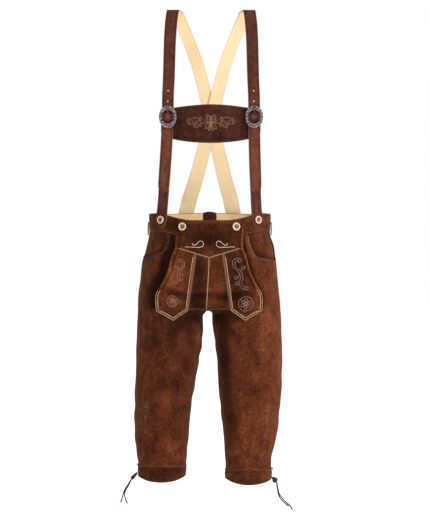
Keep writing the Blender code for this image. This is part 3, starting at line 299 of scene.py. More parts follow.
@dataclass(frozen=True)
class Leather:
    """How the hides have set in wear: the folds and slow unevenness, and painted shade and light: dark in the
    troughs, light on the ridges, and in patches.
    """

    waves: int = 26
    swell: float = .00055
    wave_lengths: Pair = (.028, .11)
    seed: int = 7
    # painted shade in the folds' troughs and painted light on their ridges, per metre of depth
    tone_per_metre: float = 78
    ridge: float = .42
    ridge_away: float = 2.1
    end_fade: float = 1.5

    def uneven(self, points: Array) -> Array:
        """A sum of plane sine waves of many lengths and directions.

        Args:
            points: Points, in waist coordinates.

        Returns:
            Heights in metres.
        """
        random = np.random.default_rng(self.seed)
        directions = unit(random.normal(size=(self.waves, 3)))
        numbers = TURN / random.uniform(*self.wave_lengths, self.waves)
        phases = random.uniform(0, TURN, self.waves)
        total = sum(np.sin(number * (points @ direction) + phase)
                    for direction, number, phase in zip(directions, numbers, phases))
        return self.swell * total / math.sqrt(self.waves / 2)

    def folds(self, points: Array, normals: Array) -> Array:
        """Sum of the folds: each is a soft trough with a low ridge on each side, as deep as its depth.

        Across it lies a bell less two lower bells beside it, and it fades towards its ends, which curve
        away by the bend.

        Args:
            points: Points, in waist coordinates.
            normals: The plain form's normals there.

        Returns:
            Heights in metres.
        """
        total = np.zeros(points.shape[:-1])
        for face, rows in FOLDS.items():
            weight = face.weight(points, normals)
            for across, drop, length, angle, bend, width, depth in np.array(rows) * FOLD_UNITS:
                along, aside = face.seen_from(points, across, drop, angle)
                along = along / (length / 2)
                aside = (aside - bend * along ** 2) / width
                bell = np.exp(-aside ** 2) - self.ridge * np.exp(-(np.abs(aside) - self.ridge_away) ** 2)
                total -= depth * bell * np.clip(1 - along ** 2, 0, 1) ** self.end_fade * weight
        return total

    def height(self, points: Array, normals: Array) -> Array:
        """How far the leather stands out of its plain form at each point."""
        return self.uneven(points) + self.folds(points, normals)

    def tone(self, points: Array, normals: Array) -> Array:
        """Painted shade and light: troughs painted dark, ridges painted light, and painted patches of shade
        and light, which are bells both ways.

        Args:
            points: Points, in waist coordinates.
            normals: The plain form's normals there.

        Returns:
            Shades, 0 for the plain leather.
        """
        # painted shade in the troughs and painted light on the ridges of the folds
        total = self.folds(points, normals) * self.tone_per_metre
        # painted patches of shade and light, bells both ways
        for face, rows in PAINTED_SHADE_PATCHES.items():
            weight = face.weight(points, normals)
            for across, drop, width, height, angle, tone in np.array(rows) * PAINTED_SHADE_PATCH_UNITS:
                along, aside = face.seen_from(points, across, drop, angle)
                total += tone * np.exp(-(along / width) ** 2 - (aside / height) ** 2) * weight
        return total


HIDES = Leather()


# ---- meshes
def signed_volume(points: Array, faces: Sequence[Array]) -> float:
    """Volume that closed faces enclose, positive where they point outwards."""
    return sum(np.sum(points[fan[:, 0]] * np.cross(points[fan[:, corner]], points[fan[:, corner + 1]]))
               for fan in faces for corner in range(1, fan.shape[1] - 1)) / 6


def grid_faces(rows: int, columns: int, wrap: bool = False) -> Array:
    """Four-sided faces of a grid of points stored row by row, joined round its columns if wrap is set.

    Args:
        rows: Rows of points.
        columns: Points in a row.
        wrap: Whether the last column meets the first.

    Returns:
        Four point numbers for each face.
    """
    row, column = np.indices((rows - 1, columns if wrap else columns - 1))
    here, after = row * columns + column, row * columns + (column + 1) % columns
    return np.stack([here, after, after + columns, here + columns], axis=-1).reshape(-1, 4)


def rim_faces(rows: int, columns: int) -> Array:
    """Faces that join the border of one grid to the border of an equal grid stored after it.

    Args:
        rows: Rows of points.
        columns: Points in a row.

    Returns:
        Four point numbers for each face.
    """
    border = np.concatenate([np.arange(columns), np.arange(1, rows) * columns + columns - 1,
                             (rows - 1) * columns + np.arange(columns - 2, -1, -1),
                             np.arange(rows - 2, 0, -1) * columns])
    after, count = np.roll(border, -1), rows * columns
    return np.stack([border, count + border, count + after, after], axis=-1)


def drum_faces(rings: int, sides: int) -> list[Array]:
    """Faces of a closed drum: rings of points joined to each other, and a flat end on the first and last."""
    around = np.arange(sides)
    return [grid_faces(rings, sides, wrap=True), np.stack([around[::-1], (rings - 1) * sides + around])]


@dataclass
class Solid:
    """A mesh in the making: closed parts with values at their points, gathered before Blender gets them."""

    points: list[Array] = field(default_factory=list)
    faces: list[Array] = field(default_factory=list)
    values: dict[str, list[Array]] = field(default_factory=dict)
    count: int = 0

    def add(self, points: Array, faces: Sequence[Array], **values: Array) -> "Solid":
        """Add one closed part, turned right side out.

        Args:
            points: Its points, in waist coordinates.
            faces: Arrays of point numbers, one for each number of corners.
            values: Numbers for the points, by name; each part of a solid has the same names.

        Returns:
            This solid.
        """
        points = points.reshape(-1, 3)
        step = -1 if signed_volume(points, faces) < 0 else 1
        self.faces += [group[:, ::step] + self.count for group in faces]
        for name, value in values.items():
            self.values.setdefault(name, []).append(np.broadcast_to(np.ravel(value), len(points)))
        self.points.append(points)
        self.count += len(points)
        return self

    def mesh(self, name: str) -> bpy.types.Mesh:
        """The Blender mesh, shaded smooth but for its sharp edges, hung from the shoulders.

        Args:
            name: Name of the mesh.

        Returns:
            The mesh, with its values as attributes.
        """
        mesh = bpy.data.meshes.new(name)
        points = np.concatenate(self.points) - np.array([0, 0, SHOULDER_RISE])
        loops = np.concatenate([group.ravel() for group in self.faces])
        sizes = np.concatenate([np.full(len(group), group.shape[1]) for group in self.faces])
        starts = np.concatenate([[0], np.cumsum(sizes)[:-1]])
        for part, count, key, values in ((mesh.vertices, len(points), "co", points.astype(np.float32)),
                                         (mesh.loops, len(loops), "vertex_index", loops.astype(np.int32)),
                                         (mesh.polygons, len(sizes), "loop_start", starts.astype(np.int32))):
            part.add(count)
            part.foreach_set(key, values.ravel())
        mesh.update(calc_edges=True)
        for key, parts in self.values.items():
            layer = mesh.attributes.new(key, "FLOAT", "POINT")
            layer.data.foreach_set("value", np.concatenate(parts).astype(np.float32))
        mesh.shade_smooth()
        mesh.set_sharp_from_angle(angle=SHARP_ANGLE)
        return mesh


def tube(path: Array, radii: Array, sides: int = 12, up: Point = (0, 1, 0)) -> tuple[Array, list[Array]]:
    """A closed round tube along a path: circles square to it, with flat ends.

    Args:
        path: Its middle line.
        radii: Its radius at each point, or everywhere.
        sides: Points round it.
        up: A direction that the path never runs along.

    Returns:
        Its points and faces.
    """
    tangent = unit(np.gradient(path, axis=0))
    first = unit(np.cross(tangent, np.array(up)))
    angle = np.linspace(0, TURN, sides, endpoint=False)[:, None]
    ring = first[:, None] * np.cos(angle) + np.cross(tangent, first)[:, None] * np.sin(angle)
    radii = np.broadcast_to(radii, len(path))[:, None, None]
    return (path[:, None] + ring * radii).reshape(-1, 3), drum_faces(len(path), sides)


def distance_to(points: Array, line: Array) -> Array:
    """Distance of each point of a grid from the nearest of a line's points."""
    return np.min(np.linalg.norm(points[..., None, :] - line, axis=-1), axis=-1)


def groove(distance: Array, at: float, depth: float, width: float) -> Array:
    """A row of stitches pulls the leather in: minus a bell of the distance round a line."""
    return -depth * np.exp(-((distance - at) / width) ** 2)


# ---- surfaces
class Surface:
    """A face that pieces lie on: points of two parameters, u across and v along."""

    flip = 1

    def base(self, u: Array, v: Array) -> Array:
        """The plain form's points."""
        raise NotImplementedError

    def slopes(self, u: Array, v: Array) -> Line:
        """How the points move with each parameter, per unit of it."""
        return tuple((self.base(u + a, v + b) - self.base(u - a, v - b)) / (2 * SLOPE_STEP)
                     for a, b in ((SLOPE_STEP, 0), (0, SLOPE_STEP)))

    def normals(self, u: Array, v: Array) -> Array:
        """Outward normals: the cross product of the slopes along both parameters."""
        return unit(np.cross(*self.slopes(u, v))) * self.flip

    def relief(self, points: Array, normals: Array) -> Array:
        """How far the worn leather stands out of the plain form."""
        return HIDES.height(points, normals)

    def tone(self, points: Array, normals: Array) -> Array:
        """Painted shade and light on the leather, from the folds and in patches."""
        return HIDES.tone(points, normals)

    def at(self, u: Array, v: Array, lift: Array = 0) -> Line:
        """Points moved out by the relief and by lift, and the plain form's normals.

        Args:
            u: First parameters.
            v: Second parameters.
            lift: Distance out from the relief.

        Returns:
            Points and normals.
        """
        u, v = grids(u, v)
        points, normals = self.base(u, v), self.normals(u, v)
        return points + normals * (self.relief(points, normals) + lift)[..., None], normals

    def beside(self, u: Array, v: Array, distance: float) -> Line:
        """The parameters of a line beside another one, moved to the left along the surface.

        Both parameters are scaled to metres, the line is moved square to itself, and they are scaled back.

        Args:
            u: First parameters.
            v: Second parameters.
            distance: How far to the left it moves.

        Returns:
            The new line's parameters.
        """
        scale = np.stack([np.linalg.norm(slope, axis=-1) for slope in self.slopes(u, v)], axis=-1)
        way = unit(np.stack([np.gradient(u), np.gradient(v)], axis=-1) * scale) * distance / scale[:, ::-1]
        return u - way[:, 1], v + way[:, 0]


SECTIONS = table(
    "drop mid out_left out_right in_left in_right front back",
    (0.000, 0.000, .1635, .1655, .012, .01, .112, .118),
    (.05, 0.000, .164, .165, .012, .01, .115, .122),
    (.092, 0.000, .172, .176, .012, .01, .119, .13),
    (.136, -.001, .183, .182, .012, .01, .121, .137),
    (.2, -.004, .19, .186, .012, .01, .119, .139),
    (.264, -.007, .195, .193, .012, .01, .109, .125),
    (.278, -.007, .196, .195, .0185, .006, .1065, .1215),
    (.32, -.007, .197, .1965, .017, .011, .101, .112),
    (.39, -.007, .199, .197, .0275, .02, .094, .099),
    (.47, -.007, .2015, .195, .041, .025, .088, .088),
    (.54, -.007, .2035, .19, .051, .031, .081, .08),
    (.6, -.007, .203, .182, .056, .038, .074, .073),
    (.645, -.007, .199, .173, .06, .041, .069, .068),
    (.68, -.007, .194, .168, .064, .044, .066, .065),
    (.73, -.007, .193, .168, .066, .044, .065, .064))


@dataclass(frozen=True)
class Trousers(Surface):
    """The outer face of one side of the trousers: u is the turn round the section, v the drop.

    Below the fork a section is an ellipse that swells a little at its diagonals.  Above it the middle
    plane cuts the ellipse off, and a flat web that curves under at the fork spans the hollow there.
    """

    side: Side
    fork: float = .264
    rise_start: float = .174
    rise_power: float = 3.5
    lobe_start: float = .05
    lobe_power: float = 1.75
    web_softness: float = .06
    saddle_rise: float = .014
    boxes: Pair = (.055, .015)      # at the waist and in the legs
    dip_front: float = .0205
    dip_side: float = .0005
    rise_back: float = .0065
    dip_fade: float = .13
    dip_turns: Pair = (.08, .23)    # where the top edge rises in front, and over how much
    rise_turns: Pair = (.58, .4)    # and behind

    @property
    def flip(self) -> float:
        """The sign that turns the normals outwards."""
        return -self.side.sign

    def web(self, share: Array) -> Array:
        """A curve of high power from 1 down to 0: the web's reach as it nears the fork."""
        return (1 - share ** self.rise_power) ** (1 / self.rise_power)

    def section(self, drop: Array) -> dict[str, Array]:
        """Middle, centre, half width, depths, box, start angle and web of the section at each drop.

        Args:
            drop: Drops below the waist line.

        Returns:
            Each quantity by its name.
        """
        sign = self.side.sign
        column = {name: curve_through(drop, SECTIONS["drop"], values) for name, values in SECTIONS.items()}
        reach = column[f"out_{self.side}"] - sign * column["mid"]
        box = between(*self.boxes, ease(drop / self.fork))
        parting = np.clip((drop - self.lobe_start) / (self.fork - self.lobe_start), 0, 1)
        start = np.arccos(parting ** self.lobe_power)
        share = np.cos(start) * (1 + box * np.sin(2 * start) ** 2)
        over = -reach * (1 - share) / (1 + share)
        opening = np.clip((drop - self.fork) / self.saddle_rise, 0, 1)
        gap = (column[f"in_{self.side}"] - sign * column["mid"]) * np.sqrt(1 - (1 - opening) ** 2)
        inner = np.where(drop < self.fork, over, gap)
        below = np.clip((drop - self.rise_start) / (self.fork - self.rise_start), 0, 1)
        return dict(column, centre=(inner + reach) / 2, half=(reach - inner) / 2, box=box, start=start,
                    web=self.web(below))

    def base(self, u: Array, v: Array) -> Array:
        """Points of the section at turn u and drop v: 0 is the inner edge, 0.5 the side seam.

        Args:
            u: Turns round the leg.
            v: Drops below the waist line.

        Returns:
            The points.
        """
        turn, drop = grids(u, v)
        cut = self.section(drop)
        angle = cut["start"] + (TURN - 2 * cut["start"]) * turn
        swell = 1 + cut["box"] * np.sin(2 * angle) ** 2
        across = cut["mid"] + self.side.sign * (cut["centre"] - cut["half"] * np.cos(angle) * swell)
        depth = np.where(np.sin(angle) > 0, cut["front"], cut["back"])
        round_part = np.abs(np.sin(angle)) * swell
        bridged = (round_part + cut["web"] + np.hypot(round_part - cut["web"], self.web_softness)) / 2
        bridges = (np.cos(angle) > 0) & (drop < self.fork)
        reached = np.where(bridges, np.minimum(bridged, np.maximum(round_part, 1)), round_part)
        return np.stack([across, -depth * reached * np.sign(np.sin(angle)), -drop], axis=-1)

    def turn_per_metre(self, turn: Array, drop: Array) -> Array:
        """How much turn a metre along the section takes at a place."""
        return 1 / np.linalg.norm(self.slopes(turn, drop)[0], axis=-1)

    def dip(self, turn: Array) -> Array:
        """How far the top edge lies below the waist line at each turn.

        Args:
            turn: Turns round the leg.

        Returns:
            Depths of the dip.
        """
        front = (self.dip_front - self.dip_side) * (1 - rising(turn, *self.dip_turns))
        back = (self.dip_side + self.rise_back) * rising(turn, *self.rise_turns)
        return self.dip_side + front - back

    def dipped(self, turn: Array, level: Array) -> Array:
        """The drop of a row that follows the top edge and runs level further down."""
        return level + self.dip(turn) * (1 - ease(level / self.dip_fade))

    def turn_where(self, spread: float, drop: float, behind: bool = False) -> float:
        """The turn in front, or behind, whose spread from the middle plane is the given one, by halving.

        Args:
            spread: Distance from the middle plane.
            drop: Drop of the section.
            behind: Whether it lies behind.

        Returns:
            The turn.
        """
        low, high = (.5, 1) if behind else (0, .5)
        for _ in range(40):
            middle = (low + high) / 2
            beyond = abs(self.base(middle, drop)[0]) > spread
            low, high = (middle, high) if beyond == behind else (low, middle)
        return (low + high) / 2

    def turn_from_back(self, distance: Array, drop: Array) -> Array:
        """The turn that lies a distance along the section from the centre back."""
        return 1 - distance * self.turn_per_metre(.999, drop)


LEGS = {side: Trousers(side) for side in Side}
FLAP_EDGE = table("drop half", (.0245, .088), (.094, .089), (.118, .097), (.148, .104), (.18, .1175),
                  (.2, .129), (.213, .1365), (.23, .138), (.259, .137))
FLAP_TOP_HALF, FLAP_YOKE_HALF, FLAP_LOW_HALF = FLAP_EDGE["half"][[0, 1, -1]]


def beyond_flap(points: Array) -> Array:
    """How far points lie outside the drop front's edge, to the side."""
    return np.abs(points[..., 0]) - curve_through(-points[..., 2], *FLAP_EDGE.values())


@dataclass(frozen=True)
class FrontFace(Surface):
    """The drop front's face: u is the side position and v the drop.

    Its depth is the trousers' front, found by halving the angle's range, and it bridges the hollow over
    the centre seam.  It leaves the leg panels beside its left edge, where it curls out a little.
    """

    flip = -1
    curl: float = .005
    curl_reach: float = .03
    right_curl: float = .3
    curl_drops: Pair = (.05, .08)

    def base(self, u: Array, v: Array) -> Array:
        """Points at side position u and drop v.

        Args:
            u: Side positions, positive to the wearer's left.
            v: Drops below the waist line.

        Returns:
            The points.
        """
        u, v = grids(u, v)
        depths = []
        for side, leg in LEGS.items():
            cut = leg.section(v)
            wanted = np.clip((side.sign * (u - cut["mid"]) - cut["centre"]) / cut["half"], 0, .999)
            low, high = np.full(wanted.shape, math.pi / 2), np.full(wanted.shape, math.pi)
            for _ in range(30):
                middle = (low + high) / 2
                reached = -np.cos(middle) * (1 + cut["box"] * np.sin(2 * middle) ** 2) < wanted
                low, high = np.where(reached, middle, low), np.where(reached, high, middle)
            depths.append(-cut["front"] * np.sin(low) * (1 + cut["box"] * np.sin(2 * low) ** 2))
        return np.stack([u, np.where(u < cut["mid"], *depths), -v], axis=-1)

    def relief(self, points: Array, normals: Array) -> Array:
        """The folds, and the curl of the edges, which is largest beside the left hip.

        Args:
            points: Points, in waist coordinates.
            normals: The plain form's normals there.

        Returns:
            Heights over the plain form.
        """
        share = np.where(points[..., 0] < 0, 1, self.right_curl) * rising(-points[..., 2], *self.curl_drops)
        curl = self.curl * share * ease(1 + beyond_flap(points) / self.curl_reach)
        return super().relief(points, normals) + curl


FRONT = FrontFace()


@dataclass(frozen=True)
class Ribbon(Surface):
    """A strap's inner side: u is the distance across from its middle line, v the way along it."""

    side: Side

    def frames(self, v: Array) -> tuple[Array, Array, Array, Array]:
        """Points, across and outward directions, and half widths."""
        raise NotImplementedError

    def base(self, u: Array, v: Array) -> Array:
        """The middle line's points, moved across by u."""
        points, across = self.frames(v)[:2]
        return points + across * np.asarray(u)[..., None]

    def normals(self, u: Array, v: Array) -> Array:
        """The outward directions."""
        return self.frames(v)[2]


BAND_OUT = .0006               # outer side of the waistband
BUCKLE_HEIGHT = .249
BUCKLE_SPREAD = .113
BRACE_LEAN = .0045             # how far the braces stand to the right, reached at the buckles
ROUTE = table(
    "spread depth height width turn",
    (.121, -.0985, .052, .031, 26), (.119, -.107, .095, .031, 12),
    (.117, -.1125, .137, .031, 4), (.115, -.119, .184, .031, 0),
    (BUCKLE_SPREAD, -.124, BUCKLE_HEIGHT, .031, 0), (.1125, -.1245, .3, .031, 0),
    (.1105, -.119, .35, .0312, 0), (.1095, -.106, .403, .0315, 0),
    (.109, -.091, .443, .032, 0), (.108, -.07, .481, .0325, 0),
    (.106, -.041, .52, .033, 0), (.102, -.008, .548, .0335, 0),
    (.095, .025, .548, .034, 0), (.084, .055, .529, .0345, 0),
    (.07, .08, .5, .035, 0), (.057, .096, .47, .035, 0),
    (.042, .108, .432, .0355, 0), (.0267, .116, .38, .036, 0),
    (0.0000, .121, .268, .037, 0), (-.0275, .122, .156, .0395, 0),
    (-.0416, .1205, .1, .041, 0), (-.0584, .118, .043, .0425, 0))


def lean(height: Array) -> Array:
    """How far the braces stand to the right at a height."""
    return BRACE_LEAN * np.clip(height / BUCKLE_HEIGHT, 0, 1)


@dataclass(frozen=True)
class Strap(Ribbon):
    """One brace, from its tail in front over the shoulder to the other side of the back."""

    lining_in: float = .0023
    end_places: tuple[Pair, ...] = ((.0655, -.008), (.07, .012), (.0745, .036))
    cross_height: float = .268
    cross_half: float = .097
    cross_fade: float = .06
    cross_lift: float = .0017
    bulge: float = .0034           # rise of the strap over the buckle's bar
    bulge_half: float = .013
    swell: float = .3              # share of the hides' unevenness
    waist_fade: float = .05
    tab_end: Pair = (.275, .05)
    in_frame: Pair = (.018, .01)
    tones: Row = (1.6, -.75, .55, .22)      # painted highlight on the bar, painted shade in the frame, lighter on the tail and above

    @cached_property
    def route(self) -> tuple[Array, Array, Array]:
        """Way, points, and widths with turns at the knots of the route, which ends on the back waistband.

        Returns:
            The way, the points, and rows of a width and a turn.
        """
        sign, leg = self.side.sign, LEGS[self.side.other]
        points = np.stack([ROUTE["spread"] * sign, ROUTE["depth"], ROUTE["height"]], axis=-1)
        points[:, 0] += lean(points[:, 2])
        away = np.abs(points[:, 2] - self.cross_height)
        window = 1 - ease((away - self.cross_half) / self.cross_fade)
        points[:, 1] -= sign * self.cross_lift * window * (points[:, 1] > 0)
        turned = np.stack([ROUTE["width"], np.radians(ROUTE["turn"] * sign)], axis=-1)
        for spread, drop in self.end_places:
            turn = leg.turn_where(spread, drop, behind=True)
            normal = leg.normals(turn, drop)
            end = leg.base(turn, drop) + normal * (BAND_OUT + LAY_GAP - self.lining_in)
            points = np.vstack([points, end])
            turned = np.vstack([turned, (ROUTE["width"][-1], math.atan2(-normal[0], normal[1]))])
        return way_along(points), points, turned

    def line(self, stations: Array) -> Array:
        """Points of the middle line at distances along it."""
        return curve_through(stations, *self.route[:2])

    def frames(self, v: Array) -> tuple[Array, Array, Array, Array]:
        """Points, across and outward directions, and half widths.

        Outward is level across the strap and then turned by the route's turn.

        Args:
            v: Distances along the route.

        Returns:
            Points, both directions, and half widths.
        """
        way, _, turned = self.route
        inside = np.clip(v, way[0] + SLOPE_STEP, way[-1] - SLOPE_STEP)
        tangent = unit(self.line(inside + SLOPE_STEP) - self.line(inside - SLOPE_STEP))
        ahead, rise = np.moveaxis(unit(tangent[..., 1:]), -1, 0)
        width, turn = np.moveaxis(curve_through(v, way, turned), -1, 0)
        outward = np.stack([rise * np.sin(turn), -rise * np.cos(turn), ahead], axis=-1)
        outward = unit(outward - tangent * np.sum(outward * tangent, axis=-1, keepdims=True))
        return self.line(v), np.cross(tangent, outward), outward, width / 2

    def relief(self, points: Array, normals: Array) -> Array:
        """The waistband's relief where it lies on it, a little unevenness where it is free, none on the
        lower strap, and the rise over the buckle's bar.

        Args:
            points: Points, in waist coordinates.
            normals: The plain form's normals there.

        Returns:
            Heights over the plain form.
        """
        behind, height = points[..., 1] > 0, points[..., 2]
        on_waist = (1 - ease(height / self.waist_fade)) * behind
        free = np.where(behind, 1 - on_waist, rising(height, *self.tab_end))
        rise = self.bulge * (1 - ease(np.abs(height - BUCKLE_HEIGHT) / self.bulge_half)) * ~behind
        return rise + on_waist * HIDES.height(points, normals) + free * self.swell * HIDES.uneven(points)

    def tone(self, points: Array, normals: Array) -> Array:
        """Painted highlight on the bar, painted shade round it in the buckle, and lighter down the tail and
        above the buckle.

        Args:
            points: Points, in waist coordinates.
            normals: The plain form's normals there.

        Returns:
            Shades, 0 for the plain leather.
        """
        above = points[..., 2] - BUCKLE_HEIGHT
        middle = np.hypot(points[..., 0] - BRACE_LEAN - self.side.sign * BUCKLE_SPREAD, above)
        bar, frame_dark, tail_lighter, upper = self.tones
        # painted highlight where the strap rises over the bar, and painted shade inside the frame
        inside = bar * np.exp(-(middle / .01) ** 2) + frame_dark * (1 - rising(np.abs(above), *self.in_frame))
        tail, free = ease(-above / .02 - 1), ease(above / .02 - 1)
        return (inside + tail_lighter * tail + upper * free) * (points[..., 1] < 0)


STRAPS = {side: Strap(side) for side in Side}


@dataclass(frozen=True)
class Tab(Ribbon):
    """A lower strap: v counts the knots of its middle line, which starts on the waistband and then
    follows the brace's route up to the buckle."""

    places: tuple[Point, ...] = (   # spread, drop and half width on the waistband
        (.1325, .0415, .0045), (.1308, .036, .0125), (.1285, .027, .0175),
        (.1265, .015, .0185), (.1245, 0.0000, .0175))
    half: float = .01525
    top: float = .262
    knot_spacing: float = .021
    waist_fade: float = .03
    tones: Pair = (.05, -.15)      # over the whole, and the painted shade below the buckle, where the tail covers it
    buckle_start: Pair = (.04, .02)

    @cached_property
    def knots(self) -> tuple[Array, ...]:
        """Points, across and outward directions, and half widths at the knots.

        Returns:
            The four, as rows or a column.
        """
        leg, strap = LEGS[self.side], STRAPS[self.side]
        turns = np.array([leg.turn_where(spread, drop) for spread, drop, _ in self.places])
        _, drops, halves = np.array(self.places).T
        normals = leg.normals(turns, drops)
        points = leg.base(turns, drops) + normals * (BAND_OUT + LAY_GAP)
        across = unit(np.cross(unit(np.gradient(points, axis=0)), normals))
        stations = np.arange(0, self.top, self.knot_spacing)
        upper = strap.frames(stations[strap.line(stations)[:, 2] < self.top])
        upper = (*upper[:3], np.full(len(upper[3]), self.half))
        return tuple(np.concatenate(pair) for pair in zip((points, across, normals, halves), upper))

    def frames(self, v: Array) -> tuple[Array, Array, Array, Array]:
        """The knots' columns as smooth functions of v.

        Args:
            v: Knot numbers, with places between them as fractions.

        Returns:
            The same four at v.
        """
        numbers = np.arange(len(self.knots[0]))
        points, across, outward, half = (curve_through(v, numbers, column) for column in self.knots)
        return points, unit(across), unit(outward), half

    def relief(self, points: Array, normals: Array) -> Array:
        """The waistband's relief where it lies on it, and none under the strap."""
        return HIDES.height(points, normals) * (1 - ease(points[..., 2] / self.waist_fade))

    def tone(self, points: Array, normals: Array) -> Array:
        """Painted shade where the tail covers it, and a little lighter below."""
        return self.tones[0] + self.tones[1] * rising(points[..., 2], *self.buckle_start)


@dataclass(frozen=True)
class ChestFace(Surface):
    """Front of the bar between the braces, which bows forward between their tabs: v is the height."""

    bow: float = .012
    bow_half: float = .094
    tones: Row = (-.32, -.25, -.25)     # over the whole, painted shade at its sides, and darker along its foot
    sides: Pair = (.06, .035)
    foot: Pair = (.215, .03)

    def base(self, u: Array, v: Array) -> Array:
        """The braces' depth at each height, less the bow, which is a squared parabola across.

        Args:
            u: Side positions.
            v: Heights over the waist line.

        Returns:
            The points.
        """
        u, v = grids(u, v)
        line = STRAPS[Side.RIGHT].line(np.linspace(0, .3, 80))
        depth = np.interp(v, line[:, 2], line[:, 1]) + LAY_GAP
        bow = np.clip(1 - (u / self.bow_half) ** 2, 0, 1) ** 2
        return np.stack([u + lean(v), depth - self.bow * bow, v], axis=-1)

    def relief(self, points: Array, normals: Array) -> Array:
        """A little unevenness between the tabs, none behind them."""
        free = ease((self.bow_half - np.abs(points[..., 0] - BRACE_LEAN)) / .02)
        return free * HIDES.uneven(points)

    def tone(self, points: Array, normals: Array) -> Array:
        """Painted shade beside the tabs, and darker towards the lower edge.

        Args:
            points: Points, in waist coordinates.
            normals: The plain form's normals there.

        Returns:
            Shades, 0 for the plain leather.
        """
        whole, at_sides, below = self.tones
        side = rising(np.abs(points[..., 0] - BRACE_LEAN), *self.sides)
        return whole + at_sides * side + below * falling(points[..., 2], *self.foot)


CHEST = ChestFace()


# ---- leather shells
class Edge(Enum):
    """A border of a shell's grid."""

    TOP = "top"
    BOTTOM = "bottom"
    START = "start"
    END = "end"


Borders = dict[Edge, Array]     # distances of a grid's points from its four borders


def borders_of(points: Array) -> Borders:
    """Distances from the borders, measured along a grid whose first index runs from top to bottom.

    Args:
        points: The grid of points.

    Returns:
        Distances from each edge.
    """
    down, along = (np.insert(np.cumsum(np.linalg.norm(np.diff(points, axis=axis), axis=-1), axis=axis), 0, 0,
                             axis=axis) for axis in (0, 1))
    return {Edge.TOP: down, Edge.BOTTOM: down[-1:] - down,
            Edge.START: along, Edge.END: along[:, -1:] - along}


@dataclass(frozen=True)
class Hem:
    """What is done along one border: a turned edge that stands up, with a tone that is partly painted light
    and shade, and rows of stitches with painted shade in their grooves.
    """

    edge: Edge
    rows: Row = (.003,)       # distances of the stitches from the border
    width: float = 0          # of the turning
    height: float = 0         # how far the turning stands up
    # of the turning: partly its own colour, partly painted light and shade
    tone: float = 0
    depth: float = .0005       # how far the stitches draw the leather in
    dark: float = .25          # painted shade of the grooves
    until: float = 9          # drop at which the turning and its stitches end
    raw: float = 0            # share of bare, pale leather in the turning
    soft: float = .0008     # half the width over which a turning ends
    fade: float = .01       # distance over which a hem ends

    def relief(self, borders: Borders, drop: Array) -> Array:
        """Extra height of the outer side: the turning's half round, and a groove for each row.

        Args:
            borders: Each point's distances from the edges.
            drop: Drops below the waist line.

        Returns:
            Heights over the plain leather.
        """
        distance = borders[self.edge]
        height = sum(groove(distance, row, self.depth, self.depth + self.soft) for row in self.rows)
        if self.width:
            share = np.sin(math.pi * np.clip(distance / self.width, 0, 1))
            height = height + self.height * np.sqrt(np.clip(share, 0, 1))
        return height * (1 - rising(drop, self.until, self.fade))

    def shade(self, borders: Borders, drop: Array) -> Array:
        """The turning's tone, partly painted light and shade, which ends in a soft step, and the painted
        shade of the grooves.

        Args:
            borders: Each point's distances from the edges.
            drop: Drops below the waist line.

        Returns:
            Shades, negative where it is dark.
        """
        distance = borders[self.edge]
        dark = sum(groove(distance, row, self.dark, self.depth + .0012) for row in self.rows)
        tone = dark + self.tone * (1 - ease((distance - self.width + self.soft) / (2 * self.soft)))
        return tone * (1 - rising(drop, self.until, self.fade))


@dataclass(frozen=True)
class Thread:
    """A thread and how it is sewn: each stitch is a short capsule that dips into the leather at its ends."""

    radius: float = .00036
    pitch: float = .0033
    fill: float = .8              # share of the pitch that a stitch covers
    sides: int = 5
    proud: float = .45             # how far its middle stands out, as a share of the radius
    dip: float = 1.1                # how far its ends sink, as a share of the radius
    taper: float = .9

    def sew(self, solid: Solid, points: Array, normals: Array) -> None:
        """Sew along a line.

        Ring k of a stitch lies at the stitch's centre plus its half length times t, t from -1 to 1; its
        radius is the thread's times the square root of 1 - 0.9 t squared, and it sinks by t squared.

        Args:
            solid: What gets the stitches.
            points: The line.
            normals: The leather's normals there.
        """
        way = way_along(points)
        if len(points) < 2 or way[-1] < self.pitch:
            return
        count = int(round(way[-1] / self.pitch))
        step = way[-1] / count
        share = np.array([-1, -.5, .5, 1])
        stations = (np.arange(count)[:, None] + .5) * step + step * self.fill / 2 * share
        middle = straight_through(stations, way, points)
        normal = unit(straight_through(stations, way, normals))
        beside = unit(np.cross(normal, unit(middle[:, -1:] - middle[:, :1])))
        middle = middle + normal * (self.radius * (self.proud - self.dip * share ** 2))[:, None]
        angle = np.linspace(0, TURN, self.sides, endpoint=False)[:, None]
        radius = (self.radius * np.sqrt(1 - self.taper * share ** 2))[:, None, None]
        ring = beside[:, :, None] * np.cos(angle) + normal[:, :, None] * np.sin(angle)
        first = np.arange(count)[:, None, None] * len(share) * self.sides
        solid.add(middle[:, :, None] + ring * radius, [(group + first).reshape(-1, group.shape[1])
                                                       for group in drum_faces(len(share), self.sides)])


FINE_THREAD = Thread(radius=.0003, pitch=.0036, sides=4)
SEAM_THREAD = Thread(radius=.00038, pitch=.0034)
CREAM_THREAD = Thread(radius=.0008, pitch=.0044, fill=.94, proud=.55)
THIN_CREAM_THREAD = Thread(radius=.00066, pitch=.0044, fill=.94, proud=.55)
EDGE_THREAD = Thread(radius=.00055, pitch=.004, fill=.96, proud=.5)
MOUTH_THREAD = Thread(radius=.00045, pitch=.004)
EMBROIDERY = Thread(radius=.0007, pitch=.0019, fill=1.06, proud=.4, dip=.5)
SPRIG_THREAD = Thread(radius=.0005, pitch=.0024, fill=.9, proud=.2, dip=.5)
BOLD_EMBROIDERY = Thread(radius=.00085, pitch=.0024, fill=1.08, proud=.5, dip=.3)


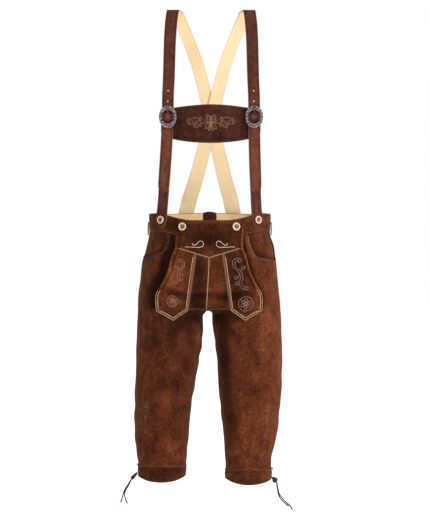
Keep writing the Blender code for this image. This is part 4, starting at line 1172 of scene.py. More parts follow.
@dataclass
class Shell:
    """A wall of leather on a surface, with what later pieces need to lie on it."""

    face: Array
    normals: Array
    borders: Borders
    solid: Solid
    hems: Sequence[Hem]
    cut: Point                      # width, length and area, laid flat

    def inset(self, edge: Edge, distance: float, trim: float = 0) -> Line:
        """A line that keeps a distance from one border.

        Args:
            edge: The border.
            distance: From that border, along the surface.
            trim: How near the line may come to the borders it runs towards.

        Returns:
            Its points and the normals there.
        """
        level = edge in (Edge.TOP, Edge.BOTTOM)
        ends = (Edge.START, Edge.END) if level else (Edge.TOP, Edge.BOTTOM)
        grid = [self.borders[edge], np.minimum(*(self.borders[end] for end in ends)), self.face, self.normals]
        if not level:
            grid = [values.swapaxes(0, 1) for values in grid]
        away, room, face, normals = (values[::-1] if edge in (Edge.BOTTOM, Edge.END) else values
                                     for values in grid)
        columns = np.arange(away.shape[1])
        below = np.clip(np.argmax(away > distance, axis=0), 1, None)
        low, high = away[below - 1, columns], away[below, columns]
        share = ((distance - low) / np.maximum(high - low, 1e-9))[:, None]
        line = face[below - 1, columns] * (1 - share) + face[below, columns] * share
        keep = room[below, columns] >= trim - 1e-6
        return line[keep], normals[below, columns][keep]

    def stitch(self, stitches: Solid, thread: Thread = SEAM_THREAD) -> "Shell":
        """Sew every row of every hem, and return this shell.

        Args:
            stitches: The solid that takes its stitches.
            thread: The thread that is sewn with.

        Returns:
            This shell.
        """
        for hem in self.hems:
            for row in hem.rows:
                thread.sew(stitches, *self.inset(hem.edge, row, row))
        return self


def shell(surface: Surface, u: Array, v: Array, inside: Array, outside: Array, hems: Sequence[Hem] = (),
          rim: float = .0007, raw: float = 1, dress: Optional[Made] = None, shade: Optional[Made] = None,
          keep: Optional[Made] = None) -> Shell:
    """A closed wall of leather between two distances from a surface.

    Its outer edges are rounded: within rim of a border the face falls away along a quarter circle.

    Args:
        surface: What it lies on.
        u: Grid of the surface's first parameter.
        v: Grid of its second one.
        inside: Distance of the inner side.
        outside: Distance of the outer side.
        hems: What is done along its borders.
        rim: Radius of the rounded edge.
        raw: How pale the cut edge is.
        dress: Gives extra height of the outer side at its points.
        shade: Gives extra tone there.
        keep: Moves points that may not cross a plane.

    Returns:
        The shell.
    """
    u, v = grids(u, v)
    face, normals = surface.at(u, v, outside)
    borders, drop = borders_of(face), -face[..., 2]
    near = np.min(list(borders.values()), axis=0)
    fall = rim * (1 - np.sqrt(1 - np.clip(1 - near / rim, 0, 1) ** 2))
    height = sum(hem.relief(borders, drop) for hem in hems) - fall + (dress(face) if dress else 0)
    outer, inner = face + normals * height[..., None], surface.at(u, v, inside)[0]
    if keep:
        outer, inner = keep(outer), keep(inner)
    rows, columns = drop.shape
    faces = grid_faces(rows, columns)
    tone = surface.tone(surface.base(u, v), normals) + sum(hem.shade(borders, drop) for hem in hems)
    tone = tone + (shade(face) if shade else 0)
    edge = raw * np.exp(-near / RAW_EDGE) + sum(hem.raw * (borders[hem.edge] < hem.width) for hem in hems)
    solid = Solid().add(np.stack([outer, inner]),
                        [faces, faces[:, ::-1] + rows * columns, rim_faces(rows, columns)],
                        tone=np.stack([tone, tone]), edge=np.stack([edge, edge]))
    first, second, third, fourth = (outer.reshape(-1, 3)[corner] for corner in faces.T)
    area = float(np.sum(np.linalg.norm(np.cross(third - first, fourth - second), axis=1))) / 2
    width = float(np.max(borders[Edge.START][:, -1]))
    length = max(float(np.max(borders[Edge.TOP][-1])), area / width)
    return Shell(outer, normals, borders, solid, hems, (width, length, area))


# ---- embroidery
def spiral(x: float, y: float, radius: float, turns: float, start: float, hand: float = 1) -> Array:
    """A line that winds inwards: its radius shrinks evenly from the given one to a quarter of it.

    Args:
        x: Centre, across.
        y: Centre, upwards.
        radius: Radius at its start.
        turns: How often it goes round.
        start: Angle of its start in degrees.
        hand: 1 or -1, the way it winds.

    Returns:
        Its points.
    """
    share = np.linspace(0, 1, int(14 * turns * math.sqrt(radius)) + 8)
    angle = math.radians(start) + hand * TURN * turns * share
    return np.stack([np.cos(angle), np.sin(angle)], -1) * radius * (1 - .75 * share)[:, None] + (x, y)


def stroke(*points: Pair) -> Array:
    """A smooth line through a few points."""
    return smooth_line(points, .8)


def leaf(root: Pair, tip: Pair, width: float) -> Array:
    """A closed leaf: out to the tip on one half sine and back on the other.

    Args:
        root: Where it starts.
        tip: Where it points.
        width: Its greatest width.

    Returns:
        Its points.
    """
    share = np.concatenate([np.linspace(0, 1, 14), np.linspace(1, 0, 14)[1:]])[:, None]
    way = np.where(np.arange(27) < 14, width, -width)[:, None]
    axis = np.subtract(tip, root)
    square = np.array([-axis[1], axis[0]]) / np.linalg.norm(axis)
    return root + axis * share + square * way * np.sin(math.pi * share) ** .8


def circle(radius: float) -> Array:
    """A closed ring round the middle."""
    angle = np.linspace(0, TURN, 40)
    return radius * np.stack([np.cos(angle), np.sin(angle)], axis=-1)


def both_ways(lines: Sequence[Array]) -> list[Array]:
    """The lines, and their mirror images across the vertical."""
    return [line * np.array([sign, 1]) for line in lines for sign in (-1, 1)]


def chest_motif() -> list[Array]:
    """A tulip with hanging petals, and on each side a scroll with curled ends; in millimetres.

    Returns:
        Its lines.
    """
    half = [leaf((0, 1), (12, 20), 6.6), leaf((2, 6), (9.5, 15.5), 3.2), leaf((0, -1), (5, -22), 3),
            leaf((1, -1), (15, -17), 3.8), stroke((0, 2), (6, -1), (13, 2), (20, 8)),
            stroke((8, 1), (18, -3), (27, 2), (33, 11), (42, 13), (50, 11)), spiral(53, 2, 9.5, 1.6, 100, -1),
            stroke((30, 1), (35, 4), (40, 2)), spiral(38, -7, 8.5, 1.6, 80, -1),
            leaf((29, 4), (26, 14), 3), leaf((24, -2), (29, -11), 2.6)]
    return both_ways(half) + [leaf((0, 0), (0, -17), 2), leaf((0, 5), (0, 13), 1.8)]


def yoke_motif() -> list[Array]:
    """One long hook that runs level and curls up and back at its inner end; in millimetres."""
    return [stroke((-38, -7), (-18, -8), (-2, -8.4), (6.5, -6.2), (10.4, -.2), (8.4, 6.2), (2.6, 8),
                   (-3.2, 4.6), (-8, -.6), (-13.6, -2.8), (-18, -.8), (-18.6, 2.8))]


def vine_motif() -> list[Array]:
    """An S-shaped ribbon of two lines with a curl at its top and three leaves; in millimetres.

    Returns:
        Its lines.
    """
    return [stroke((3, 39), (-6, 37), (-12, 29), (-10, 18), (-2, 10), (4, 2), (6, -8), (3, -18), (6, -27),
                   (15, -34), (26, -35)),
            stroke((1, 33), (-4, 31), (-6.5, 26), (-5, 19), (3, 12), (10, 3), (12, -8), (9, -17), (11, -24),
                   (18, -29), (24, -29)),
            spiral(3, 33, 6, 1.1, 90, -1), leaf((8, 12), (17, 20), 3.2), leaf((2, -4), (-7, -9), 3),
            spiral(-1, -21, 5, 1.1, 60)]


def rosette_motif() -> list[Array]:
    """A ring round a whirl of six petals and a small heart; in millimetres.

    Returns:
        Its lines.
    """
    return [circle(16.5), circle(3)] + [
        leaf((3.5 * math.cos(a), 3.5 * math.sin(a)), (12.5 * math.cos(a + .5), 12.5 * math.sin(a + .5)), 3)
        for a in np.arange(6) * TURN / 6]


def sprig_motif() -> list[Array]:
    """A long stem with a few leaves and a flower on top; in millimetres.

    Returns:
        Its lines.
    """
    return both_ways([leaf((0, -30), (4.5, -21), 1.8), leaf((0, 2), (4.5, 11), 1.8),
                      leaf((0, 26), (5, 37), 2.6), leaf((0, 26), (8, 27), 2.2)]) + [
        stroke((0, -46), (1.5, -20), (-1, 10), (0, 42))]


def embroider(solid: Solid, lines: Sequence[Array], surface: Surface, place: Pair, thread: Thread,
              lift: float, size: Pair = (1, 1), scale: Pair = (1, -1)) -> None:
    """Sew a motif on a surface.

    Args:
        solid: What gets the stitches.
        lines: The motif's lines, in millimetres.
        surface: What it is sewn on.
        place: The surface's parameters at the motif's middle.
        thread: The thread.
        lift: Height of the leather's outer side over the surface.
        size: Its scale to the right and up; a minus turns it over, left for right.
        scale: How much of the surface's parameters a metre to the right and a metre up take.
    """
    for line in lines:
        u, v = (line * size / 1000 * scale + place).T
        thread.sew(solid, *surface.at(u, v, lift))


# ---- finishes
class Value:
    """A socket of a material's tree that can be used in arithmetic, which adds Math nodes."""

    def __init__(self, graph: "Graph", socket: bpy.types.NodeSocket) -> None:
        """Wrap a socket of the graph's tree."""
        self.graph, self.socket = graph, socket

    def math(self, operation: str, *values: "Value | float") -> "Value":
        """The result of a Math node on values."""
        return self.graph.node("ShaderNodeMath", {"operation": operation}, *values)

    def __add__(self, other: "Value | float") -> "Value":
        """Sum."""
        return self.math("ADD", self, other)

    def __sub__(self, other: "Value | float") -> "Value":
        """Difference."""
        return self.math("SUBTRACT", self, other)

    def __rsub__(self, other: float) -> "Value":
        """Difference from a number."""
        return self.math("SUBTRACT", other, self)

    def __mul__(self, other: "Value | float") -> "Value":
        """Product."""
        return self.math("MULTIPLY", self, other)

    def clamped(self) -> "Value":
        """Kept between 0 and 1."""
        return self.graph.node("ShaderNodeClamp", {}, self, 0, 1)

    __radd__, __rmul__ = __add__, __mul__


Stops = Sequence[tuple[float, Point]]


class Graph:
    """One material's node tree."""

    def __init__(self, name: str) -> None:
        """Start a material whose shader is a Principled BSDF.

        Args:
            name: Name of the material.
        """
        self.material = bpy.data.materials.new(name)
        self.material.use_nodes = True
        self.tree = self.material.node_tree
        self.shader = self.tree.nodes["Principled BSDF"]

    def link(self, socket: bpy.types.NodeSocket, value: "Value | float | Row") -> None:
        """Give a socket a link or a constant; a colour may come without its alpha.

        Args:
            socket: The socket.
            value: What it takes.
        """
        if isinstance(value, Value):
            self.tree.links.new(value.socket, socket)
        else:
            socket.default_value = (*value, 1) if socket.type == "RGBA" else value

    def node(self, kind: str, settings: dict[str, str], *inputs: "Value | float", output: int | str = 0,
             **named: "Value | float") -> Value:
        """Add a node.

        Args:
            kind: Its type.
            settings: Its properties, set first.
            inputs: Values or links of its first sockets, in order.
            output: Which output is returned.
            named: Values or links of sockets by name, with _ for a space.

        Returns:
            The output.
        """
        made = self.tree.nodes.new(kind)
        for key, setting in settings.items():
            setattr(made, key, setting)
        for socket, value in zip(made.inputs, inputs):
            self.link(socket, value)
        for key, value in named.items():
            self.link(made.inputs[key.replace("_", " ")], value)
        return Value(self, made.outputs[output])

    def attribute(self, name: str) -> Value:
        """A number stored at the mesh's points."""
        return self.node("ShaderNodeAttribute", {"attribute_name": name}, output="Fac")

    def place(self, scale: Point = (1, 1, 1)) -> Value:
        """Object coordinates, stretched."""
        own = self.node("ShaderNodeTexCoord", {}, output="Object")
        return self.node("ShaderNodeMapping", {}, Vector=own, Scale=scale)

    def noise(self, place: Value, scale: float, detail: float = 3, rough: float = .55,
              warp: float = 0) -> Value:
        """Noise about 0, from -0.5 to 0.5, with features 1 / scale metres wide."""
        return self.node("ShaderNodeTexNoise", {}, Vector=place, Scale=scale, Detail=detail,
                         Roughness=rough, Distortion=warp) - .5

    def ramp(self, value: Value, stops: Stops) -> Value:
        """A colour for each value.

        Args:
            value: What is read.
            stops: Places and their colours.

        Returns:
            The colour.
        """
        made = self.node("ShaderNodeValToRGB", {}, value)
        elements = made.socket.node.color_ramp.elements
        while len(elements) < len(stops):
            elements.new(.5)
        for element, (place, colour) in zip(elements, stops):
            element.position, element.color = place, (*colour, 1)
        return made

    def mix(self, factor: Value, first: "Value | Point", second: "Value | Point") -> Value:
        """First colour where the factor is 0 and second where it is 1.

        Args:
            factor: Share of the second.
            first: First colour.
            second: Second colour.

        Returns:
            The mixed colour.
        """
        made = self.node("ShaderNodeMix", {"data_type": "RGBA"}, factor, output=2)
        for socket, colour in zip(made.socket.node.inputs[6:8], (first, second)):
            self.link(socket, colour)
        return made

    def bump(self, height: Value, distance: float) -> Value:
        """A normal from a height that is distance metres high at 1."""
        return self.node("ShaderNodeBump", {}, Strength=1, Distance=distance, Height=height)

    def finish(self, **sockets: "Value | float | Point") -> bpy.types.Material:
        """Set the shader's sockets by name and return the material.

        Returns:
            The material.
        """
        for key, value in sockets.items():
            self.link(self.shader.inputs[key.replace("_", " ")], value)
        return self.material


@dataclass(frozen=True)
class SuedeFinish:
    """Napped leather: blotches of brushed nap, streaks, troughs painted darker than ridges by the tone's
    painted shade and light, and pale cut edges.
    """

    name: str
    slot: str
    deep: Point
    dark: Point
    middle: Point
    light: Point
    raw: Point
    mottle: float = 1
    raw_share: float = .45
    sheen: float = .3
    roughness: float = .92

    def material(self) -> bpy.types.Material:
        """Shade is the tone at the mesh's points, which holds painted shade and light, plus noises of six
        sizes, read as a colour.

        Returns:
            The material.
        """
        graph = Graph(self.name)
        place = graph.place()
        clouds = graph.noise(place, 11, 3, .6, .6)
        blotches = graph.noise(place, 38, 4, .62, .8)
        streaks = graph.noise(graph.place((1, 1, .28)), 75, 3, .6, .3)
        brushed = graph.noise(place, 150, 3, .65, .5)
        nap = graph.noise(place, 420, 3, .7)
        fibre = graph.noise(place, 1500, 2, .6)
        shade = (clouds * .34 + blotches * .52 + streaks * .34 + brushed * .68 + nap * .5
                 + fibre * .28) * self.mottle + graph.attribute("tone") * .34 + .5
        colour = graph.ramp(shade, [(.1, self.deep), (.36, self.dark), (.56, self.middle),
                                    (.86, self.light)])
        edge = (graph.attribute("edge") * self.raw_share * (nap * 1.6 + 1)).clamped()
        height = nap * .7 + fibre * .55 + blotches * .5
        return graph.finish(Base_Color=graph.mix(edge, colour, self.raw), Roughness=self.roughness,
                            Normal=graph.bump(height, .0011), Sheen_Weight=self.sheen,
                            Sheen_Roughness=.45, Sheen_Tint=self.raw, Specular_IOR_Level=.05)


@dataclass(frozen=True)
class ThreadFinish:
    """Twisted thread: fine light and dark bands, and a slow change of shade along the seams."""

    name: str
    dark: Point
    light: Point
    slot: str = ""

    def material(self) -> bpy.types.Material:
        """A ramp over two noises.

        Returns:
            The material.
        """
        graph = Graph(self.name)
        place = graph.place()
        slow, twist = graph.noise(place, 90), graph.noise(place, 1900, 2)
        colour = graph.ramp(slow * .9 + twist * 1.1 + .5, [(.2, self.dark), (.75, self.light)])
        return graph.finish(Base_Color=colour, Roughness=.62, Specular_IOR_Level=.12,
                            Normal=graph.bump(twist, .0002), Sheen_Weight=.04, Sheen_Tint=self.light)


@dataclass(frozen=True)
class PewterFinish:
    """Cast pewter with a dark patina in its hollows."""

    name: str = "old_pewter"
    slot: str = "pewter"
    patina: Point = (.016, .01, .012)
    metal: Point = (.135, .102, .112)
    polish: Point = (.82, .74, .77)

    def material(self) -> bpy.types.Material:
        """The tone at the mesh's points is the height of the relief.

        Returns:
            The material.
        """
        graph = Graph(self.name)
        place = graph.place()
        grain, stain = graph.noise(place, 900), graph.noise(place, 160, 4)
        shade = graph.attribute("tone") + grain * .25 + stain * .5
        colour = graph.ramp(shade, [(.18, self.patina), (.48, self.metal), (.88, self.polish)])
        return graph.finish(Base_Color=colour, Metallic=.92, Roughness=(.46 + stain * .3).clamped(),
                            Normal=graph.bump(grain, .00015))


@dataclass(frozen=True)
class HornFinish:
    """Stag horn: a pale polished rim round a brown, porous core; the tone runs from core 0 to rim 1."""

    name: str = "stag_horn"
    slot: str = "horn"
    pore: Point = (.045, .018, .009)
    core: Point = (.2, .115, .065)
    rim: Point = (.56, .43, .31)

    def material(self) -> bpy.types.Material:
        """A ramp over the tone, broken up by noise.

        Returns:
            The material.
        """
        graph = Graph(self.name)
        place = graph.place()
        pores, cloud = graph.noise(place, 1300, 3, .6), graph.noise(place, 320, 3)
        shade = graph.attribute("tone") + pores * .3 + cloud * .25
        colour = graph.ramp(shade, [(.05, self.pore), (.38, self.core), (.72, self.rim)])
        return graph.finish(Base_Color=colour, Roughness=(.36 + cloud * .3).clamped(),
                            Normal=graph.bump(pores, .00025), Coat_Weight=.15, Coat_Roughness=.2)


class Finish(Enum):
    """What a piece is dressed in."""

    SUEDE = SuedeFinish("brown_suede", "suede", (.014, .0034, .0014), (.043, .0104, .004),
                        (.089, .0218, .0078), (.178, .0505, .02), (.3, .135, .07))
    DARK_SUEDE = SuedeFinish("dark_suede_leather", "dark_suede", (.013, .0036, .0024),
                             (.038, .0112, .0076), (.075, .0228, .0155), (.162, .0515, .0255),
                             (.26, .115, .066), mottle=.85)
    LINING = SuedeFinish("cream_lining", "lining", (.6, .34, .13), (.72, .52, .28),
                         (.8, .61, .37), (.88, .71, .47), (.8, .62, .38), .3, .25, .05, .8)
    # the lining's colours made brighter and yellower for the facing inside the shaded waist: partly its own
    # colour, partly painted bounce light
    FACING = SuedeFinish("yellow_lining", "lining", (.7, .4, .14), (.86, .57, .25),
                         (.96, .68, .35), (1, .8, .46), (.9, .68, .38), .3, .25, .05, .8)
    PEWTER = PewterFinish()
    HORN = HornFinish()
    THONG = SuedeFinish("thong_leather", "thong", (.024, .011, .011), (.052, .025, .023),
                        (.09, .046, .042), (.16, .09, .08), (.2, .12, .1), mottle=.8,
                        roughness=.72)
    CREAM_THREAD = ThreadFinish("cream_thread", (.44, .26, .13), (.8, .6, .38))
    BROWN_THREAD = ThreadFinish("brown_thread", (.11, .043, .025), (.26, .12, .075))
    ROSE_THREAD = ThreadFinish("rose_thread", (.5, .33, .25), (.84, .68, .58))
    FADED_THREAD = ThreadFinish("faded_thread", (.17, .098, .078), (.37, .245, .205))
    TAN_THREAD = ThreadFinish("tan_thread", (.16, .08, .053), (.38, .215, .145))
    DULL_THREAD = ThreadFinish("dull_thread", (.13, .068, .048), (.3, .175, .13))
    LINING_THREAD = ThreadFinish("lining_thread", (.34, .2, .09), (.52, .34, .17))


class Workshop:
    """Makes the pieces: it keeps the materials, and gives each solid its name, finish and place."""

    def __init__(self) -> None:
        """Make every finish's material once."""
        self.materials = {finish: finish.value.material() for finish in Finish}
        self.triangles = 0

    def piece(self, name: str, solid: Solid, finish: Finish, *replaces: str) -> bpy.types.Object:
        """Make one piece, which rides on the only body.

        Args:
            name: The piece's name.
            solid: Its mesh.
            finish: Its finish.
            replaces: The plain pieces of the frame that it stands for.

        Returns:
            The object.
        """
        obj = bpy.data.objects.new(name, solid.mesh(name))
        bpy.context.scene.collection.objects.link(obj)
        obj.data.materials.append(self.materials[finish])
        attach(obj, "root")
        if replaces:
            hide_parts(*replaces)
        count = sum(len(group) * (group.shape[1] - 2) for group in solid.faces)
        self.triangles += count
        LOG.info("%s: %d triangles, %s", name, count, finish.value.name)
        return obj

    def leather(self, name: str, made: Shell, finish: Finish, held: str, *rests_on: str) -> bpy.types.Object:
        """Make a piece of leather that stands for the plain piece of its name.

        Args:
            name: The plain piece's name.
            made: The shell.
            finish: Its finish.
            held: How it is held; not used.
            rests_on: The pieces that it hangs from or lies on; not used.

        Returns:
            The object.
        """
        obj = self.piece("leather_" + name, made.solid, finish, name)
        return obj

    def punch(self, obj: bpy.types.Object, places: Array, ways: Array, radius: float) -> None:
        """Punch round holes through a piece, with a cutter that is taken away again.

        Args:
            obj: The piece.
            places: The holes' middles, in waist coordinates.
            ways: Their directions.
            radius: Their radius.
        """
        cutters = Solid()
        for place, way in zip(places, ways):
            cutters.add(*tube(place + way * np.linspace(-PUNCH_REACH, PUNCH_REACH, 3)[:, None], radius, 20,
                              (0, 0, 1)))
        cutter = bpy.data.objects.new("punch", cutters.mesh("punch"))
        bpy.context.scene.collection.objects.link(cutter)
        hole = obj.modifiers.new("holes", "BOOLEAN")
        hole.operation, hole.solver, hole.object = "DIFFERENCE", "EXACT", cutter
        bpy.context.view_layer.update()
        cut = bpy.data.meshes.new_from_object(obj.evaluated_get(bpy.context.evaluated_depsgraph_get()))
        obj.modifiers.remove(hole)
        obj.data = cut
        bpy.data.objects.remove(cutter)


# ---- trousers
@dataclass(frozen=True)
class KneeLine:
    """An edge of a knee band: its drop swings between its side and its front value."""

    side: float
    front: float

    def at(self, turn: Array) -> Array:
        """Side plus the difference times the squared sine of twice the turn."""
        return between(self.side, self.front, np.sin(TURN * turn) ** 2)


KNEE_TOPS = {Side.LEFT: KneeLine(.681, .6735), Side.RIGHT: KneeLine(.692, .682)}
KNEE_BOTTOMS = {Side.LEFT: KneeLine(.71, .7195), Side.RIGHT: KneeLine(.717, .7265)}


def keep_to(side: Side) -> Made:
    """A function that keeps points on one side of the middle plane.

    Args:
        side: The wearer's side.

    Returns:
        The function.
    """
    def kept(points: Array) -> Array:
        """Points with their side position at least half a seam gap from the plane.

        Args:
            points: Points, in waist coordinates.

        Returns:
            The moved points.
        """
        middle = LEGS[side].section(-points[..., 2])["mid"]
        away = np.maximum(side.sign * (points[..., 0] - middle), SEAM_GAP / 2)
        return np.concatenate([(middle + side.sign * away)[..., None], points[..., 1:]], axis=-1)
    return kept


@dataclass
class LegPanels:
    """Front and back panels of both legs, and the facings behind the pocket mouths."""

    leather: float = .0016
    top: float = .048
    pocket_drops: Pair = (.066, .074)
    pocket_turns: Pair = (.272, .298)
    pocket_steps: Row = (0, 12, 30, 50, 70, 82, 90)
    rise: Row = (.93, .8, .6, .35, 0)
    opening: Row = (30, 60, 90)
    seat_end: float = .2
    inseam_start: float = .302
    spacing: float = .0034
    facing: Pair = (-.0052, -.004)
    lap: float = .014
    sunk: float = .0035
    mouth_rows: Row = (.006, .0098)
    mouth_half: float = .0022      # half width of the mouth's turning
    mouth_height: float = .001
    # lighter ridge along the mouth's turning, left and right: partly its pale edge, partly painted highlight,
    # stronger on the right
    mouth_tones: Pair = (.7, 1.25)
    seam_row: float = .0026
    sprig_size: float = 1.25
    sprig_away: float = .085       # from the side seam
    sprig_drops: Pair = (.55, .56)
    last_row: int = 21
    seat_knots: int = 6
    leg_knots: int = 8
    sink_reaches: Pair = (.016, .01)
    sink_starts: Pair = (.072, .03)
    sink_ends: Pair = (.3, .04)
    shadow_starts: Pair = (.05, .02)
    shadow_ends: Pair = (.272, .04)
    shadow_reaches: Pair = (.022, .008)
    shadow_depths: Pair = (3, 1)
    # painted shade on the facing beside the mouth's edge, and how far it reaches
    mouth_shade: float = -.9
    mouth_reach: float = .008

    def levels(self, side: Side, rows: Array) -> tuple[Array, Array, Array]:
        """Drops along the inner edge and the side seam, and the mouth's turn, at row numbers.

        The mouth is a round corner of power 4: its level grows with the root of the sine of an angle
        while its turn moves to the side seam with the root of the cosine.

        Args:
            side: The wearer's side.
            rows: Row numbers.

        Returns:
            Drops at both edges, and turns.
        """
        leg, end = LEGS[side], KNEE_TOPS[side].at(0) - LAY_GAP
        fork = between(leg.rise_start, leg.fork, leg.web(np.array(self.rise)))
        saddle = leg.fork + leg.saddle_rise * (1 - np.cos(np.radians(self.opening)))
        knots = np.concatenate([np.linspace(self.top, self.seat_end, self.seat_knots), fork, saddle,
                                np.linspace(self.inseam_start, end, self.leg_knots)])
        last, drop = len(self.pocket_steps) - 1, side.of(self.pocket_drops)
        step = np.radians(np.interp(rows, np.arange(last + 1), self.pocket_steps))
        low = self.top + drop
        seam = np.where(rows < last, self.top + drop * np.sqrt(np.sin(step)),
                        between(low, end, (rows - last) / (len(knots) - 1 - last)))
        mouth = .5 - side.of(self.pocket_turns) * np.sqrt(np.abs(np.cos(step))) * (rows < last)
        return curve_through(rows, np.arange(len(knots)), knots), seam, mouth

    def grid(self, side: Side, front: bool) -> Line:
        """Turns and drops of a panel, in rows that are evenly spaced on the average of both its edges.

        Args:
            side: The wearer's side.
            front: Whether it lies in front of the side seam.

        Returns:
            Turns and drops.
        """
        leg, knee = LEGS[side], KNEE_TOPS[side]
        fine = np.linspace(0, self.last_row, 900)
        inner, seam, mouth = self.levels(side, fine)
        mouth = mouth if front else np.full_like(mouth, .5)
        way = sum(way_along(leg.base(*edge)) for edge in ((mouth, leg.dipped(mouth, seam)), (0, inner))) / 2
        rows = np.interp(graded(way[-1], self.spacing, True) * way[-1], way, fine)
        inner, seam, mouth = self.levels(side, rows)
        columns = graded(.3, self.spacing)
        turn = columns * mouth if front else 1 - columns * .5 + 0 * mouth
        level = between(seam, inner, np.cos(math.pi * turn) ** 2)
        drop = leg.dipped(turn, np.maximum(level, self.top + LAY_GAP))
        drop = drop + (knee.at(turn) - knee.at(0)) * np.clip(rows - (self.last_row - 1), 0, 1)
        gaps = [leg.turn_per_metre(edge, drop[:, column]) * SEAM_GAP / 2
                for edge, column in ((np.round(turn[:, 0]), 0), (turn[:, -1], -1))]
        moved = gaps[0][:, None] * (1 - columns) - gaps[1][:, None] * columns
        return turn + (moved if front else -moved), drop

    def mouth_line(self, side: Side, distance: float) -> Line:
        """Points and normals of a line beside the pocket mouth, on the front panel.

        Args:
            side: The wearer's side.
            distance: How far inside the edge it runs.

        Returns:
            Points and normals.
        """
        leg = LEGS[side]
        _, seam, mouth = self.levels(side, np.linspace(.05, 6, 160))
        turn, drop = leg.beside(mouth, leg.dipped(mouth, seam), distance)
        keep = (turn < .498) & (drop > leg.dip(turn) * .3 + self.top + .002)
        return leg.at(turn[keep], drop[keep])

    def sink(self, points: Array) -> Array:
        """How far the front lies back under the drop front and beside its edge.

        Args:
            points: Points, in waist coordinates.

        Returns:
            Depths in metres.
        """
        drop = -points[..., 2]
        reach = np.where(points[..., 0] < 0, *self.sink_reaches)
        under = ease(1 - beyond_flap(points) / reach) * rising(drop, *self.sink_starts)
        return -self.sunk * under * falling(drop, *self.sink_ends) * (points[..., 1] < 0)

    def shadow(self, points: Array) -> Array:
        """The dark beside the drop front: bells of the distance from its edge, deeper on the left.

        Args:
            points: Points, in waist coordinates.

        Returns:
            Shades, negative where it is dark.
        """
        drop, left = -points[..., 2], points[..., 0] < 0
        reach = rising(drop, *self.shadow_starts) * falling(drop, *self.shadow_ends)
        away = beyond_flap(points) / np.where(left, *self.shadow_reaches)
        depth = np.where(left, *self.shadow_depths) * np.exp(-away ** 2)
        return -depth * reach * (points[..., 1] < 0)

    def panel(self, side: Side, front: bool) -> Shell:
        """One panel; the front one has a turned, stitched edge along its pocket mouth.

        Args:
            side: The wearer's side.
            front: Whether it lies in front of the side seam.

        Returns:
            The panel.
        """
        turn, drop = self.grid(side, front)
        sink = self.sink(LEGS[side].base(turn, drop))
        mouth = self.mouth_line(side, self.mouth_half)[0]
        hems = [Hem(edge, (self.seam_row,)) for edge in (Edge.START, Edge.END)[:1 if front else 2]]

        def ridge(points: Array) -> Array:
            """A bell of the distance from the middle of the mouth's turning."""
            return np.exp(-(distance_to(points, mouth) / self.mouth_half) ** 4) * front

        # shade: painted shadow beside the drop front, and the lighter ridge along the mouth, partly painted
        # highlight
        return shell(LEGS[side], turn, drop, sink - self.leather, sink, hems, raw=.55,
                     dress=lambda points: self.mouth_height * ridge(points),
                     shade=lambda points: self.shadow(points) + side.of(self.mouth_tones) * ridge(points),
                     keep=keep_to(side))

    def decorate(self, shop: Workshop, side: Side, stitches: Solid) -> None:
        """Stitches beside the side seam below the pocket, the sprig, and the rows round the pocket mouth.

        Args:
            shop: The workshop that makes it.
            side: The wearer's side.
            stitches: The solid that takes its stitches.
        """
        leg, pale = LEGS[side], Solid()
        for row in self.mouth_rows:
            MOUTH_THREAD.sew(pale, *self.mouth_line(side, row))
        low = self.top + side.of(self.pocket_drops) + .006
        drop = np.linspace(low, KNEE_TOPS[side].side - .002, 200)
        SEAM_THREAD.sew(stitches, *leg.at(.5 - leg.turn_per_metre(.49, drop) * self.seam_row, drop))
        drop = side.of(self.sprig_drops)
        place = (.5 - leg.turn_per_metre(.45, .5) * self.sprig_away, drop)
        embroider(stitches, sprig_motif(), leg, place, SPRIG_THREAD, 0, (self.sprig_size, self.sprig_size),
                  (leg.turn_per_metre(.42, drop), -1))
        shop.piece(f"leg_stitches_{side}", stitches, Finish.BROWN_THREAD)
        shop.piece(f"pocket_stitches_{side}", pale, side.of((Finish.BROWN_THREAD, Finish.TAN_THREAD)))

    def facing_shell(self, side: Side) -> Shell:
        """The leather behind a pocket mouth, which runs on under the front panel's edge.

        Args:
            side: The wearer's side.

        Returns:
            The facing.
        """
        turn = np.linspace(.5 - side.of(self.pocket_turns) - self.lap / .5, .5, 48)[None, :]
        level = np.linspace(self.top - .006, self.top + side.of(self.pocket_drops) + self.lap, 34)[:, None]
        mouth = self.mouth_line(side, 0)[0]

        def dark(points: Array) -> Array:
            """Painted shade: a bell of the distance from the mouth's edge."""
            return self.mouth_shade * np.exp(-(distance_to(points, mouth) / self.mouth_reach) ** 2)
        return shell(LEGS[side], turn, LEGS[side].dipped(turn, level), *self.facing, shade=dark)

    def build(self, shop: Workshop) -> None:
        """Make the panels, their seams' stitches, and the facings.

        Args:
            shop: The workshop that makes it.
        """
        for side in Side:
            stitches = Solid()
            for band in ("front", "back"):
                shop.leather(f"{band}_panel_{side}", self.panel(side, band == "front").stitch(stitches),
                             Finish.SUEDE, "hung", f"leather_waistband_{band}_{side}")
            self.decorate(shop, side, stitches)
            shop.leather(f"pocket_facing_{side}", self.facing_shell(side), Finish.SUEDE, "stretched",
                         f"leather_front_panel_{side}")


@dataclass(frozen=True)
class GussetFace(Surface):
    """The centre back: u is the share of the gusset's half width, from -1 left to 1 right, v the drop."""

    half: float = .0195

    def base(self, u: Array, v: Array) -> Array:
        """Points of each side's section at a distance from the centre back.

        Args:
            u: Distances from the centre back.
            v: Drops below the waist line.

        Returns:
            The points.
        """
        u, v = grids(u, v)
        left, right = (leg.base(leg.turn_from_back(self.half * np.abs(u), v), v) for leg in LEGS.values())
        return np.where((u < 0)[..., None], left, right)


